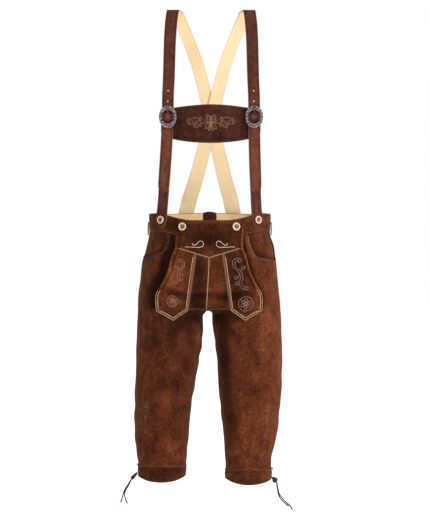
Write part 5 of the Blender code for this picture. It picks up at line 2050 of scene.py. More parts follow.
@dataclass
class Waistband:
    """Four lengths of waistband, the pale facings inside the back ones, and the gusset between them."""

    height: float = .048
    wall: Pair = (-.0016, BAND_OUT)
    facing: Pair = (-.0032, -.0022)
    gusset: Pair = (-.0034, -.0022)
    notch: Pair = (.013, .005)      # half width over the gusset, at the top and the bottom
    gusset_rise: float = .0065
    gusset_arch: float = .004
    spacing: float = .003

    def grid(self, side: Side, first: float, last: Array, lower: float = 0) -> Line:
        """Turns from first to last and dipped drops; lower moves the top edge down.

        Args:
            side: The wearer's side.
            first: Turn where it starts.
            last: Turn where it ends.
            lower: Drop of its top edge.

        Returns:
            Turns and drops.
        """
        part = graded(self.height, self.spacing, True)
        turn = between(first, last, graded(.28, self.spacing))
        return turn, LEGS[side].dipped(turn, between(lower, self.height, part))

    def length(self, side: Side, front: bool) -> Shell:
        """A front length, from the centre to the side seam, or a back one, on to the notch.

        Args:
            side: The wearer's side.
            front: Whether it lies in front of the side seam.

        Returns:
            The length.
        """
        leg = LEGS[side]
        gap = leg.turn_per_metre(0, .02) * SEAM_GAP / 2
        part = graded(self.height, self.spacing, True)
        notch = leg.turn_from_back(between(*self.notch, part), part * self.height)
        ends = (gap, .5 - gap) if front else (.5 + gap, notch)
        hems = [Hem(Edge.TOP, (.0032,)), Hem(Edge.BOTTOM, (.0026, .007))] + (
            [Hem(Edge.END, (.0026,))] if front else [Hem(Edge.START, (.0026,)), Hem(Edge.END)])
        return shell(leg, *self.grid(side, *ends), *self.wall, hems, keep=keep_to(side) if front else None)

    def lining(self, side: Side, stitches: Solid) -> Shell:
        """The facing inside a back length, with two rows of stitches on its inner side.

        Args:
            side: The wearer's side.
            stitches: The solid that takes its stitches.

        Returns:
            The facing.
        """
        part = graded(self.height, self.spacing, True)
        end = LEGS[side].turn_from_back(GussetFace().half + SEAM_GAP, part * self.height)
        turn, drop = self.grid(side, .505, end, .0012)
        for row in (int(share * (len(drop) - 1)) for share in (.1, .9)):
            points, normals = LEGS[side].at(turn[row, 2:-2], drop[row, 2:-2], self.facing[0])
            SEAM_THREAD.sew(stitches, points, -normals)
        return shell(LEGS[side], turn, drop, *self.facing, [Hem(Edge.TOP, (), 1, 0, .1)], rim=.0004)

    def gusset_shell(self) -> Shell:
        """The gusset, whose top edge is arched.

        Returns:
            The gusset.
        """
        share = np.linspace(-1, 1, 29)[None, :]
        top = -self.gusset_rise - self.gusset_arch * (1 - share ** 2)
        drop = between(top, self.height + self.gusset_arch, graded(.06, .0022, True))
        return shell(GussetFace(), share, drop, *self.gusset, [Hem(Edge.TOP)])

    def build(self, shop: Workshop) -> None:
        """Make every length and its stitches.

        Args:
            shop: The workshop that makes it.
        """
        stitches, pale = Solid(), Solid()
        for side in Side:
            for band in ("front", "back"):
                shop.leather(f"waistband_{band}_{side}", self.length(side, band == "front").stitch(stitches),
                             Finish.SUEDE, "hung", f"leather_brace_{side}")
            shop.leather(f"waistband_facing_{side}", self.lining(side, pale), Finish.FACING, "stretched",
                         f"leather_waistband_back_{side}")
        shop.leather("back_gusset", self.gusset_shell().stitch(stitches), Finish.DARK_SUEDE, "stretched",
                     "leather_waistband_back_left", "leather_waistband_back_right")
        shop.piece("waistband_stitches", stitches, Finish.BROWN_THREAD)
        shop.piece("waistband_facing_stitches", pale, Finish.LINING_THREAD)


@dataclass
class KneeBands:
    """A stitched band round the end of each leg, open in a slit at its outer side."""

    slit_half: float = .0015
    bulge: float = .0016
    wall: Pair = (-.0015, .0009)
    spacing: float = .0026
    # painted shade over the whole band: on the left, none on the right
    shades: Pair = (-.22, 0)

    def band(self, side: Side) -> Shell:
        """One band, from one edge of the slit round the leg to the other.

        Args:
            side: The wearer's side.

        Returns:
            The band.
        """
        slit = self.slit_half * LEGS[side].turn_per_metre(.5, .7)
        turn = .5 + slit + (1 - 2 * slit) * graded(.4, self.spacing)
        part = graded(.035, self.spacing, True)
        drop = between(KNEE_TOPS[side].at(turn), KNEE_BOTTOMS[side].at(turn), part)
        hems = [Hem(Edge.TOP, (.0052,), .005, .0008, .1, .0012, .55),
                Hem(Edge.BOTTOM, (), 1, 0, side.of(self.shades)),
                Hem(Edge.BOTTOM, (.0048,), .0046, .0007, .32, .001, .5), Hem(Edge.START), Hem(Edge.END)]
        low, high = (wall + self.bulge * np.sin(math.pi * part) for wall in self.wall)
        return shell(LEGS[side], turn, drop, low, high, hems, rim=.0012)

    def build(self, shop: Workshop) -> None:
        """Make both bands.

        Args:
            shop: The workshop that makes it.
        """
        stitches = Solid()
        for side in Side:
            shop.leather(f"knee_band_{side}", self.band(side).stitch(stitches), Finish.SUEDE, "hung",
                         f"leather_front_panel_{side}", f"leather_back_panel_{side}")
        shop.piece("knee_band_stitches", stitches, Finish.BROWN_THREAD)


@dataclass
class BeltLoops:
    """Four narrow loops, folded in three, that stand off the waistband in a low arch."""

    turns: tuple[tuple[str, str, float], ...] = (("side", "front", .485), ("back", "back", .8))
    width: float = .01
    drops: Pair = (.022, .058)
    thickness: float = .0028
    foot: float = .0009
    stand: float = .0012

    def loop(self, side: Side, centre: float) -> Shell:
        """One loop: its height over the band is a foot plus the squared sine of the way down it.

        Args:
            side: The wearer's side.
            centre: Turn of its middle.

        Returns:
            The loop.
        """
        leg = LEGS[side]
        half = self.width / 2 * leg.turn_per_metre(centre, .04)
        turn = centre + half * (2 * graded(self.width, .0014) - 1)
        part = graded(self.drops[1] - self.drops[0], .0016, True)
        inside = self.foot + self.stand * np.sin(math.pi * part) ** 2
        hems = [Hem(Edge.START, (.0018,), 1, 0, -.6, .0003), Hem(Edge.END, (.0018,), depth=.0003)]
        return shell(leg, turn, leg.dip(turn) + between(*self.drops, part), inside,
                     inside + self.thickness, hems, rim=.0005, raw=0)

    def build(self, shop: Workshop) -> None:
        """Make the loops, with a bar of stitches at each end.

        Args:
            shop: The workshop that makes it.
        """
        stitches = Solid()
        for side in Side:
            for label, band, centre in self.turns:
                made = self.loop(side, centre).stitch(stitches, FINE_THREAD)
                for edge in (Edge.TOP, Edge.BOTTOM):
                    SEAM_THREAD.sew(stitches, *made.inset(edge, .0028))
                shop.leather(f"belt_loop_{label}_{side}", made, Finish.SUEDE, "stretched",
                             f"leather_waistband_{band}_{side}")
        shop.piece("belt_loop_stitches", stitches, Finish.BROWN_THREAD)


# ---- drop front
@dataclass
class DropFront:
    """The yoke, the two gores of the fly and the two pointed tongues beside them."""

    top: float = .0245
    corner: float = .01
    yoke_drops: Pair = (.121, .094)     # of its lower edge, in the middle and at its ends
    inner: Pair = (.034, .056)      # side positions of a tongue's inner edge, at its top and bottom
    tongue_end: float = .257
    tip: Pair = (.095, .2845)
    fly_end: float = .256
    fly_drift: float = -.0075
    yoke_wall: Pair = (.001, .0026)
    fly_wall: Pair = (.001, .0024)
    tongue_wall: Pair = (.0014, .003)
    edge_band: float = .0092
    row: float = .0076             # of the tongues' inner stitches
    edge_row: float = .001
    band_end: float = .203         # drop at which the turned edge gives way to a raw one
    spacing: float = .0021
    curls: Pair = (-.0255, .0285)
    curl_drop: float = .084
    vine_across: float = .074
    vine_drops: Pair = (.158, .164)
    rosettes: tuple[Pair, Pair] = ((-.0965, .233), (.0955, .24))
    motif_sizes: Pair = (.86, 1.12)

    def yoke_edge(self, across: Array) -> Array:
        """Drop of the yoke's lower edge, a shallow V."""
        return between(*self.yoke_drops, np.abs(across) / FLAP_YOKE_HALF)

    def inner_edge(self, drop: Array) -> Array:
        """Side position of a tongue's inner edge, a straight line."""
        start = self.yoke_edge(self.inner[0])
        return between(*self.inner, (drop - start) / (self.tongue_end - start))

    def seam_side(self, drop: Array) -> Array:
        """Side position of the fly's centre seam, which drifts as it goes down."""
        return self.fly_drift * (drop - self.yoke_drops[0]) / (self.fly_end - self.yoke_drops[0])

    def turned(self, edge: Edge) -> Hem:
        """The turned edge that runs round the whole drop front, lighter on the right by painted light."""
        tone, dark = {Edge.TOP: (.1, .45), Edge.START: (.12, .8), Edge.END: (.75, .95)}[edge]
        return Hem(edge, (self.edge_band,), self.edge_band, .0018, tone, .0016, dark, self.band_end)

    def yoke(self) -> Shell:
        """The yoke; its upper corners are round.

        Returns:
            The yoke.
        """
        across = FLAP_TOP_HALF * (2 * graded(2 * FLAP_TOP_HALF, self.spacing) - 1)
        reach = np.clip(np.abs(across) - (FLAP_TOP_HALF - self.corner), 0, self.corner)
        top = self.top + self.corner - np.sqrt(self.corner ** 2 - reach ** 2)
        drop = between(top, self.yoke_edge(across) - SEAM_GAP, graded(.08, self.spacing, True))
        return shell(FRONT, across, drop, *self.yoke_wall,
                     [self.turned(edge) for edge in (Edge.TOP, Edge.START, Edge.END)])

    def fly(self, side: Side) -> Shell:
        """One half of the fly, from the centre seam to the tongue's inner edge.

        Args:
            side: The wearer's side.

        Returns:
            The half.
        """
        share = graded(.045, self.spacing)
        top = self.yoke_edge(self.inner[0] * share) + SEAM_GAP
        drop = between(top, self.fly_end, graded(.145, self.spacing, True))
        first = self.seam_side(drop) + side.sign * SEAM_GAP / 2
        last = side.sign * (self.inner_edge(drop) - SEAM_GAP)
        return shell(FRONT, between(first, last, share), drop, *self.fly_wall,
                     [Hem(Edge.BOTTOM, (.0034,), .0034, .0005)])

    def tongue(self, side: Side) -> Shell:
        """One tongue: its outer edge is the drop front's edge, and its lower edge has a blunt point.

        Args:
            side: The wearer's side.

        Returns:
            The tongue.
        """
        span = FLAP_LOW_HALF - self.inner[1]
        share = graded(span, self.spacing)
        top = self.yoke_edge(between(self.inner[0], FLAP_YOKE_HALF, share)) + SEAM_GAP
        bottom = np.interp(share, [0, (self.tip[0] - self.inner[1]) / span, 1],
                           [self.tongue_end, self.tip[1], FLAP_EDGE["drop"][-1]])
        drop = between(top, bottom, graded(.155, self.spacing, True))
        inner = self.inner_edge(np.minimum(drop, self.tongue_end))
        outer = curve_through(drop, *FLAP_EDGE.values())
        hems = [replace(self.turned(side.of((Edge.START, Edge.END))), edge=Edge.END)] + [
            Hem(edge, (self.row,), self.row, .0006, -.1, .0006, .5, raw=raw)
            for edge, raw in ((Edge.START, .75), (Edge.BOTTOM, .45))]
        return shell(FRONT, side.sign * between(inner, outer, share), drop, *self.tongue_wall, hems)

    def edge_stitches(self, made: Shell, cream: Solid, dull: Solid) -> None:
        """Two rows along a tongue's raw edges; the outer one is dull beside the fly.

        Args:
            made: The tongue.
            cream: Solid for the pale stitches.
            dull: Solid for the dull ones.
        """
        for edge in (Edge.START, Edge.BOTTOM, Edge.END):
            for row, thread, into in ((self.row, CREAM_THREAD, cream),
                                      (self.edge_row, EDGE_THREAD, dull if edge is Edge.START else cream)):
                line, normals = made.inset(edge, row, row)
                keep = (line[:, 2] < -self.band_end) | (edge is not Edge.END)
                thread.sew(into, line[keep], normals[keep])

    def seams(self, cream: Solid) -> None:
        """The pale stitches of the V under the yoke and of the centre seam.

        Args:
            cream: Solid for the pale stitches.
        """
        half = FLAP_YOKE_HALF - self.edge_band - .001
        across = np.linspace(-half, half, 240)
        THIN_CREAM_THREAD.sew(cream, *FRONT.at(across, self.yoke_edge(across) - .0022, self.yoke_wall[1]))
        drop = np.linspace(self.yoke_drops[0] + .002, self.fly_end - .002, 200)
        THIN_CREAM_THREAD.sew(cream, *FRONT.at(self.seam_side(drop), drop, self.fly_wall[1]))

    def embroidery(self, side: Side, rose: Solid) -> Solid:
        """A curl on one half of the yoke, and the vine and rosette of a tongue, which are returned.

        Args:
            side: The wearer's side.
            rose: Solid for the yoke's thread.

        Returns:
            The tongue's embroidery.
        """
        faded, turned, lift = Solid(), -side.sign, self.tongue_wall[1]
        size, rosette = side.of(self.motif_sizes), side.of(self.rosettes)
        curl = (side.of(self.curls), self.curl_drop)
        vine = (side.sign * self.vine_across, side.of(self.vine_drops))
        embroider(rose, yoke_motif(), FRONT, curl, BOLD_EMBROIDERY, self.yoke_wall[1], (turned, 1))
        embroider(faded, vine_motif(), FRONT, vine, EMBROIDERY, lift, (-turned * size, size))
        embroider(faded, rosette_motif(), FRONT, rosette, EMBROIDERY, lift, (size, size))
        return faded

    def build(self, shop: Workshop) -> None:
        """Make the five pieces, their stitches and the embroidery.

        Args:
            shop: The workshop that makes it.
        """
        brown, cream, dull, rose = (Solid() for _ in range(4))
        shop.leather("flap_yoke", self.yoke().stitch(brown, FINE_THREAD), Finish.SUEDE, "hung",
                     "leather_waistband_front_left", "leather_waistband_front_right")
        for side in Side:
            tongue = self.tongue(side)
            self.edge_stitches(tongue, cream, dull)
            for label, made in (("fly", self.fly(side).stitch(brown, FINE_THREAD)), ("tongue", tongue)):
                shop.leather(f"{label}_{side}", made, Finish.SUEDE, "hung", "leather_flap_yoke")
            shop.piece(f"tongue_embroidery_{side}", self.embroidery(side, rose),
                       side.of((Finish.TAN_THREAD, Finish.FADED_THREAD)))
        self.seams(cream)
        for name, solid, finish in (("flap_stitches", brown, Finish.BROWN_THREAD),
                                    ("flap_seams", cream, Finish.CREAM_THREAD),
                                    ("tongue_edge_stitches", dull, Finish.DULL_THREAD),
                                    ("yoke_embroidery", rose, Finish.ROSE_THREAD)):
            shop.piece(name, solid, finish)


# ---- braces and chest bar
@dataclass
class Braces:
    """The two long straps, their pale linings and the lower straps with the buttonholes."""

    strap: Pair = (.0036, .005)
    lining: Pair = (.0023, .0033)
    lining_set_back: float = .0001
    tail: float = .014
    holes: Pair = (.3175, .2913)
    hole_radius: float = .0024
    squeeze: float = .14           # share by which the strap is narrower inside the buckle
    tab_thickness: float = .002
    spacing: float = .0027
    row: float = .003
    bar_reach: float = .019
    end_radius: float = .016

    def grid(self, side: Side, set_back: float) -> Line:
        """Distances across and along: the front end is pointed, with the root of the way from its tip.

        Args:
            side: The wearer's side.
            set_back: How far it stays inside the edges.

        Returns:
            Distances across and along.
        """
        end = STRAPS[side].route[0][-1]
        along = graded(end, self.spacing)[0] * end
        along = np.concatenate([np.linspace(0, self.tail, 14)[:-1], along[along > self.tail]])
        points, _, _, half = STRAPS[side].frames(along)
        from_tip = np.clip((points[:, 2] - ROUTE["height"][0]) / self.tail, 0, 1)
        in_front = points[:, 1] < 0
        half = half * np.where(in_front, between(.1, 1, from_tip ** .8), 1) - set_back
        at_bar = np.exp(-((points[:, 2] - BUCKLE_HEIGHT) / self.bar_reach) ** 4) * in_front
        half = half * (1 - self.squeeze * at_bar)
        from_end = np.clip((end - along) / self.end_radius, 0, 1)
        half = half * np.where(in_front, 1, .3 + .7 * np.sqrt(from_end * (2 - from_end)))
        return half[:, None] * (2 * graded(.035, self.spacing) - 1), along[:, None]

    def hems(self, width: float, tone: float, depth: float, dark: float) -> list[Hem]:
        """Stitched, slightly raised long edges, with a painted highlight and painted shade in the stitch
        grooves.
        """
        return [Hem(edge, (self.row,), width, .0003, tone, depth, dark) for edge in (Edge.START, Edge.END)]

    def strap_piece(self, shop: Workshop, side: Side, brown: Solid) -> None:
        """A long strap, with its holes.

        Args:
            shop: The workshop that makes it.
            side: The wearer's side.
            brown: Solid that takes its stitches.
        """
        surface = STRAPS[side]
        across, along = self.grid(side, 0)
        made = shell(surface, across, along, *self.strap, self.hems(.002, .45, .0006, .9), rim=.0005)
        obj = shop.leather(f"brace_{side}", made.stitch(brown), Finish.DARK_SUEDE, "hung",
                           f"horn_back_button_{side.other}", f"pewter_buckle_{side}")
        points, _, outward, _ = surface.frames(along[:, 0])
        front = points[:np.argmax(points[:, 2]), 2]
        places = [int(np.argmin(np.abs(front - height))) for height in self.holes]
        shop.punch(obj, points[places], outward[places], self.hole_radius)

    def lining_shell(self, side: Side, pale: Solid) -> Shell:
        """A strap's pale lining, with its two rows of stitches on the inner side.

        Args:
            side: The wearer's side.
            pale: Solid that takes its stitches.

        Returns:
            The lining.
        """
        across, along = self.grid(side, self.lining_set_back)
        points, normals = STRAPS[side].at(across, along, self.lining[0])
        for column in (3, -4):
            FINE_THREAD.sew(pale, points[3:-3, column], -normals[3:-3, column])
        return shell(STRAPS[side], across, along, *self.lining, rim=.0003)

    def tab(self, side: Side) -> Shell:
        """A lower strap, with a round end below the button.

        Args:
            side: The wearer's side.

        Returns:
            The lower strap.
        """
        surface = Tab(side)
        last = len(surface.knots[3]) - 1
        number = graded(last * surface.knot_spacing, self.spacing, True) * last
        half = surface.frames(number)[3] * np.minimum(1, .3 + .7 * np.sqrt(number / .5))
        return shell(surface, half * (2 * graded(.032, .0022) - 1), number, 0, self.tab_thickness,
                     self.hems(.0018, .35, .0005, .45))

    def build(self, shop: Workshop) -> None:
        """Make the straps, the linings and the lower straps.

        Args:
            shop: The workshop that makes it.
        """
        brown, pale = Solid(), Solid()
        for side in Side:
            self.strap_piece(shop, side, brown)
            shop.leather(f"brace_lining_{side}", self.lining_shell(side, pale), Finish.LINING, "stretched",
                         f"leather_brace_{side}")
            shop.leather(f"brace_tab_{side}", self.tab(side).stitch(brown), Finish.DARK_SUEDE, "hung",
                         f"pewter_buckle_{side}", f"horn_brace_button_{side}")
        shop.piece("brace_stitches", brown, Finish.BROWN_THREAD)
        shop.piece("brace_lining_stitches", pale, Finish.LINING_THREAD)


@dataclass
class ChestBar:
    """The bar between the braces, higher in the middle than at its ends, with its embroidery."""

    half: float = .1305
    top: Pair = (.281, .268)
    bottom: Pair = (.1805, .1995)
    corner: float = .012
    thickness: float = .002
    spacing: float = .0024
    motif_height: float = .234

    def bar(self) -> Shell:
        """The bar; its corners are round and its edges are parabolas.

        Returns:
            The bar.
        """
        share = 2 * graded(2 * self.half, self.spacing) - 1
        reach = np.clip(np.abs(share) * self.half - (self.half - self.corner), 0, self.corner)
        cut = self.corner - np.sqrt(self.corner ** 2 - reach ** 2)
        top, bottom = between(*self.top, share ** 2) - cut, between(*self.bottom, share ** 2) + cut
        height = between(top, bottom, graded(.09, self.spacing, True))
        return shell(CHEST, share * self.half, height, -self.thickness, 0,
                     [Hem(edge, (.0034,)) for edge in (Edge.TOP, Edge.BOTTOM)])

    def build(self, shop: Workshop) -> None:
        """Make the bar, its stitches and its embroidery.

        Args:
            shop: The workshop that makes it.
        """
        stitches, motif = Solid(), Solid()
        shop.leather("chest_bar", self.bar().stitch(stitches), Finish.DARK_SUEDE, "stretched",
                     "leather_brace_tab_left", "leather_brace_tab_right")
        embroider(motif, chest_motif(), CHEST, (0, self.motif_height), EMBROIDERY, 0, scale=(1, 1))
        shop.piece("chest_bar_stitches", stitches, Finish.BROWN_THREAD)
        shop.piece("chest_bar_embroidery", motif, Finish.TAN_THREAD)


# ---- buckles and buttons
@dataclass
class Buckles:
    """Oval pewter frames with a twisted, leafy rim, a bar under the strap and a prong."""

    depth: float = -.124
    halves: Pair = (.0194, .0265)
    rim: float = .0034
    thickness: float = .0018
    crown: float = .0078
    dish: float = .0015
    bar_radius: float = .0014
    bar_out: float = .0039
    prong_radius: float = .0011
    prong_out: float = .0074
    leaves: int = 18
    opening: Pair = (.0154, .0164)    # from the middle to its upright and slanted sides
    steps: tuple[int, int] = (440, 40)

    def centre(self, side: Side) -> Array:
        """The buckle's middle."""
        return np.array([BUCKLE_SPREAD * side.sign + BRACE_LEAN, self.depth, BUCKLE_HEIGHT])

    def frame_ring(self, side: Side) -> tuple[Array, list[Array], Array]:
        """The frame: an oval ring round a six-sided opening with corners at its top and bottom.

        Leaves slant across its front, with a beaded line inside and a rope line outside.

        Args:
            side: The wearer's side.

        Returns:
            Its points, its faces and the height of its relief.
        """
        angle, around = (np.linspace(0, TURN, count, endpoint=False) for count in self.steps)
        angle, out, up = angle[:, None], np.cos(around), np.sin(around)
        front = ease((up + .15) / .5)
        leaf_wave = np.abs(np.sin(self.leaves / 2 * (angle + .16 * out))) ** .7 * np.exp(-(out / .45) ** 2)
        bead = np.exp(-((out + .72) / .16) ** 2) * (.5 + .5 * np.cos(2.6 * self.leaves * angle))
        rope = np.exp(-((out - .76) / .18) ** 2) * (.5 + .5 * np.cos(2.2 * self.leaves * angle + 4 * up))
        relief = front * (.7 * leaf_wave + .9 * bead + rope)
        scallop = .00035 * np.abs(np.sin(self.leaves / 2 * angle)) * ease(out * 2)
        facing = np.maximum(np.cos(angle - np.arange(6) * TURN / 6), 0)
        sides = facing / ((*self.opening, self.opening[1]) * 2)
        opening = np.sum(sides ** 9, axis=1, keepdims=True) ** (-1 / 9)
        away = self.rim * np.maximum(out, 0) + scallop
        right, rise = ((half + away + (half - opening) * np.minimum(out, 0)) * way
                       for half, way in zip(self.halves, (np.cos(angle), np.sin(angle))))
        lift = self.crown - self.dish * np.cos(angle) ** 4 + (self.thickness - .0006) * up + .0009 * relief
        ring = self.centre(side) + np.stack([right, -lift, rise], axis=-1)
        faces = grid_faces(self.steps[0] + 1, self.steps[1], wrap=True) % (self.steps[0] * self.steps[1])
        return ring, [faces], relief * .8 + .12 - .3 * (1 - front)

    def prong(self, side: Side) -> tuple[Array, list[Array]]:
        """The prong, from the strap's hole up over the frame, where it has a broad head.

        Args:
            side: The wearer's side.

        Returns:
            Its points and faces.
        """
        over_rim, top = self.crown + self.thickness + LAY_GAP + self.prong_radius, self.halves[1]
        path = self.centre(side) + smooth_line([
            (0, -self.prong_out, .009), (0, -self.prong_out - .0002, .013),
            (0, -over_rim, top - .004), (0, -over_rim, top + .003)], .0012)
        radii = self.prong_radius * (1 + 1.5 * ease(np.linspace(-1.2, 1.1, len(path))))
        radii[[0, -1]] *= .45
        radii[[1, -2]] *= .85
        return tube(path, radii, 14)

    def build(self, shop: Workshop) -> None:
        """Make both buckles.

        Args:
            shop: The workshop that makes it.
        """
        for side in Side:
            ring, faces, relief = self.frame_ring(side)
            bar = self.centre(side) + np.linspace([-self.halves[0], -self.bar_out, 0],
                                                  [self.halves[0], -self.bar_out, 0], 9)
            solid = Solid().add(ring, faces, tone=relief).add(*tube(bar, self.bar_radius, 14), tone=.35)
            shop.piece(f"pewter_buckle_{side}", solid, Finish.PEWTER, f"buckle_{side}")
            shop.piece(f"pewter_prong_{side}", Solid().add(*self.prong(side), tone=.42), Finish.PEWTER,
                       f"prong_{side}")


@dataclass
class Buttons:
    """Horn buttons with a raised pale rim, a dished core and four holes, sewn on with waxed thread."""

    radius: float = .0105
    thickness: float = .0038
    profile: tuple[Pair, ...] = (
        (0, 0), (.8, 0), (.93, .06), (.99, .22), (1, .45), (.985, .7), (.94, .9),
        (.87, 1), (.8, .99), (.72, .9), (.64, .74), (.54, .64), (.4, .6), (.2, .58),
        (0, .58))
    steps: int = 48
    hole_reach: float = .25
    hole_radius: float = .13
    places: tuple[tuple[str, bool, float, float, float], ...] = (   # name, behind, spread, drop, height
        ("brace_button", False, .1268, .0185, BAND_OUT + .002 + .0007),
        ("flap_button", False, .0702, .0375, .0026 + LAY_GAP),
        ("back_button", True, .07, .012, BAND_OUT + .005 - .0023 + 3 * LAY_GAP))
    tones: Row = (.36, .48, -.8)    # of the core, added on the rim, and painted shade in the holes
    rim_starts: Pair = (.58, .22)

    def button(self, thread: Solid, place: Array, normal: Array) -> Solid:
        """One button: the profile turned round the normal, with four dimples where the holes are.

        Args:
            thread: Solid for its thread.
            place: Middle of its back.
            normal: The way it faces.

        Returns:
            The button.
        """
        profile = smooth_line(self.profile, .05)
        angle = np.linspace(0, TURN, self.steps, endpoint=False)
        reach, rise = profile[:, :1], profile[:, 1:]
        x, y = reach * np.cos(angle), reach * np.sin(angle)
        away = np.min([np.hypot(x - self.hole_reach * math.cos(a), y - self.hole_reach * math.sin(a))
                       for a in (np.arange(4) + .5) * TURN / 4], axis=0)
        dimple = np.exp(-(away / self.hole_radius) ** 4) * (rise > .5)
        wobble = self.radius * (1 + .012 * np.sin(3 * angle + 1) + .008 * np.sin(5 * angle))
        first = unit(np.cross((0, 0, 1), normal))
        second = np.cross(normal, first)
        points = place + sum(part[..., None] * way for part, way in (
            (x * wobble, first), (y * wobble, second), ((rise - .4 * dimple) * self.thickness, normal)))
        core, rim, hole = self.tones
        # painted shade in the dimples that stand for the holes
        tone = core + rim * rising(reach, *self.rim_starts) + hole * dimple
        corner = self.hole_reach * self.radius
        sewn = Thread(radius=.0006, pitch=corner * 1.9, fill=1, sides=8, proud=.9)
        for way in (first + second, first - second):
            ends = np.outer((-corner, corner), way) / math.sqrt(2)
            sewn.sew(thread, place + normal * self.thickness * .6 + ends, np.array([normal, normal]))
        return Solid().add(points[1:-1], drum_faces(len(profile) - 2, self.steps), tone=tone[1:-1])

    def build(self, shop: Workshop) -> None:
        """Make every button, on the tabs, the drop front's corners and the back, and its thread.

        Args:
            shop: The workshop that makes it.
        """
        thread = Solid()
        for side, leg in LEGS.items():
            for name, behind, spread, drop, height in self.places:
                place = leg.at(leg.turn_where(spread, drop, behind), drop, height)
                shop.piece(f"horn_{name}_{side}", self.button(thread, *place), Finish.HORN, f"{name}_{side}")
        shop.piece("button_threads", thread, Finish.BROWN_THREAD)


# ---- knee laces
@dataclass
class KneeLaces:
    """Thongs that close the knee slits: a wound knot on each band and two loose ends below it."""

    diameter: float = .003
    spacing: float = .0033
    thong: float = .0013           # radius where it is wound
    turns: float = 6
    knots: tuple[tuple[Point, ...], ...] = (    # side, depth and height along each knot
        ((-.196, -.002, -.703), (-.201, -.003, -.708), (-.206, -.0035, -.7135),
         (-.2115, -.0035, -.7195)),
        ((.1709, -.002, -.7153), (.1745, -.003, -.7195), (.1785, -.0035, -.724),
         (.182, -.0035, -.728)))
    knot_radii: tuple[Row, ...] = ((.0028, .0046, .0054, .006), (.0026, .006, .0084, .0052))
    nubs: tuple[Point, ...] = ((-.1945, -.001, -.6815), (.17, -.001, -.6925))
    strands: tuple[tuple[str, tuple[Point, ...]], ...] = (
        ("left_a", ((-.2119, -.0058, -.7205), (-.2147, -.006, -.727), (-.2187, -.0062, -.736),
                    (-.2247, -.006, -.7455), (-.229, -.0058, -.754), (-.2305, -.0062, -.763),
                    (-.2278, -.0068, -.774), (-.2225, -.0074, -.787))),
        ("left_b", ((-.2118, -.0014, -.7203), (-.2158, -.001, -.7265), (-.2208, -.0006, -.735),
                    (-.2272, -.0004, -.7445), (-.2322, -.0002, -.754), (-.2352, 0.0000, -.764),
                    (-.238, .0004, -.7745), (-.2425, .001, -.786))),
        ("right_a", ((.1829, -.0058, -.7293), (.1841, -.006, -.736), (.1858, -.0062, -.745),
                     (.1885, -.0062, -.757), (.1943, -.006, -.7675), (.2026, -.006, -.7775),
                     (.2125, -.0062, -.7865), (.2212, -.0064, -.7955), (.2255, -.0066, -.804))),
        ("right_b", ((.1826, -.0014, -.7294), (.1832, -.0008, -.737), (.1844, -.0006, -.746),
                     (.1866, -.0004, -.759), (.1907, -.0002, -.77), (.1982, 0.0000, -.78),
                     (.2075, .0002, -.7885), (.216, .0004, -.7955))))
    nub_radius: float = .0021
    least_core: float = .0012
    odd_way: Point = (.31, .17, .93)    # no part of the winding runs along it

    def strand(self, shop: Workshop, name: str, places: Sequence[Point]) -> None:
        """One loose end: a thong along a smooth path through the places.

        Args:
            shop: The workshop that makes it.
            name: The piece's name.
            places: Places that its path runs through, in waist coordinates.
        """
        path = smooth_line(places, self.spacing)
        knob = np.exp(-((np.arange(len(path)) - len(path) + 3) / 1.4) ** 2)
        radii = self.diameter / 2 * (1.12 + .2 * knob)
        radii[-1] *= .7
        obj = shop.piece(f"thong_{name}", Solid().add(*tube(path, radii)), Finish.THONG, f"knee_lace_{name}")
        hung = path - np.array([0, 0, SHOULDER_RISE])

    def knot(self, side: Side) -> Solid:
        """A knot: a core with the thong wound round it in a helix, and a small loop at the slit's top.

        Args:
            side: The wearer's side.

        Returns:
            The knot.
        """
        path, knot_radii = smooth_line(side.of(self.knots), .0006), side.of(self.knot_radii)
        share = np.linspace(0, 1, len(path))
        radii = curve_through(share, np.linspace(0, 1, len(knot_radii)), knot_radii) - self.thong
        tangent = unit(np.gradient(path, axis=0))
        first = unit(np.cross(tangent, (0, 1, 0)))
        fine = np.linspace(.03, .97, 240)
        angle, reach = (TURN * self.turns * fine)[:, None], np.interp(fine, share, radii)[:, None]
        middle, across, out = (straight_through(fine, share, value)
                               for value in (path, first, np.cross(tangent, first)))
        helix = middle + (across * np.cos(angle) + out * np.sin(angle)) * reach
        turn = np.linspace(0, TURN, 25)[:, None]
        ring = np.cos(turn) * (side.sign, 0, 0) + np.sin(turn) * (0, .35, .9)
        loop = side.of(self.nubs) + self.nub_radius * ring
        return Solid().add(*tube(path, np.maximum(radii, self.least_core), 16)).add(
            *tube(helix, self.thong, 10, up=self.odd_way)).add(*tube(loop, self.thong, 10))

    def build(self, shop: Workshop) -> None:
        """Make the strands and the knots.

        Args:
            shop: The workshop that makes it.
        """
        for name, places in self.strands:
            self.strand(shop, name, places)
        for side in Side:
            shop.piece(f"thong_knot_{side}", self.knot(side), Finish.THONG, f"knee_lace_knot_{side}")


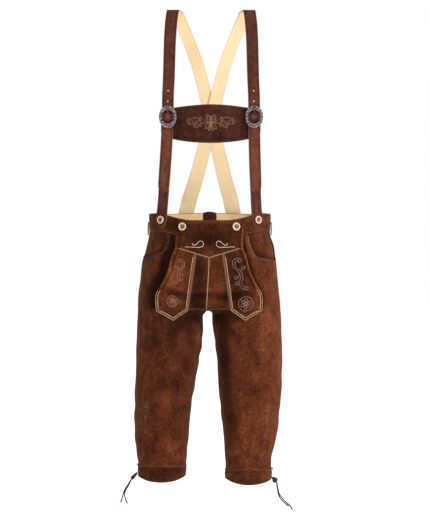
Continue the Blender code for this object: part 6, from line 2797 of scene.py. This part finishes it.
# ---- studio
@dataclass
class Studio:
    """Camera, two squares of soft light and a pale floor."""

    target: Point = (.015, 0, -.675)
    distance: float = 3.3
    half_height: float = .70175
    floor_level: float = -1.46
    floor_half: float = 14
    surround: float = .5
    glow: float = .62              # of the floor, which keeps it pale below the level camera
    lights: tuple[tuple[str, Point, float, float], ...] = (     # name, place, size and power
        ("key", (3, -2.5, 1), 1.8, 150), ("fill", (-1.6, -3.4, .6), 2.2, 26))

    def aim(self, name: str, data: bpy.types.ID, place: Point) -> bpy.types.Object:
        """Put a lamp or a camera at a place and turn it to the target.

        Args:
            name: Its name.
            data: The lamp or camera.
            place: Where it stands.

        Returns:
            Its object.
        """
        obj = bpy.data.objects.new(name, data)
        obj.location = place
        obj.rotation_euler = (Vector(self.target) - Vector(place)).to_track_quat("-Z", "Y").to_euler()
        bpy.context.scene.collection.objects.link(obj)
        return obj

    def surroundings(self) -> None:
        """A soft white world, which the camera sees as plain white."""
        world = bpy.data.worlds.new("studio")
        world.use_nodes = True
        tree = world.node_tree
        light_path = tree.nodes.new("ShaderNodeLightPath")
        strength = tree.nodes.new("ShaderNodeMapRange")
        strength.inputs["To Min"].default_value = self.surround
        tree.links.new(light_path.outputs["Is Camera Ray"], strength.inputs["Value"])
        background = tree.nodes["Background"]
        background.inputs["Color"].default_value = (1, 1, 1, 1)
        tree.links.new(strength.outputs["Result"], background.inputs["Strength"])
        bpy.context.scene.world = world

    def floor(self) -> None:
        """A plain pale floor that glows a little."""
        half = self.floor_half
        mesh = bpy.data.meshes.new("floor")
        corners = ((-half, -half), (half, -half), (half, half), (-half, half))
        mesh.from_pydata([(*corner, self.floor_level) for corner in corners], [], [(0, 1, 2, 3)])
        floor = bpy.data.objects.new("floor", mesh)
        bpy.context.scene.collection.objects.link(floor)
        mesh.materials.append(Graph("floor_paint").finish(
            Base_Color=(.93, .93, .93), Roughness=.9, Emission_Color=(1, 1, 1),
            Emission_Strength=self.glow))

    def build(self) -> None:
        """Set a level camera in front of the trousers, the lights, the surround and the floor."""
        bpy.context.scene.view_settings.view_transform = "Standard"
        camera = bpy.data.cameras.new("camera")
        camera.sensor_fit = "VERTICAL"
        camera.angle = 2 * math.atan(self.half_height / self.distance)
        before = (self.target[0], self.target[1] - self.distance, self.target[2])
        bpy.context.scene.camera = self.aim("camera", camera, before)
        for name, place, size, power in self.lights:
            lamp = bpy.data.lights.new(name, "AREA")
            lamp.size, lamp.energy = size, power
            self.aim(name, lamp, place)
        self.surroundings()
        self.floor()


def main() -> None:
    """Build the studio and every sub-assembly."""
    logging.basicConfig(level=logging.INFO, format="%(message)s")
    Studio().build()
    shop = Workshop()
    for assembly in (KneeLaces(), LegPanels(), Waistband(), KneeBands(), BeltLoops(), DropFront(), Braces(),
                     ChestBar(), Buckles(), Buttons()):
        assembly.build(shop)
    LOG.info("%d triangles in all", shop.triangles)


if __name__ == "__main__":
    main()
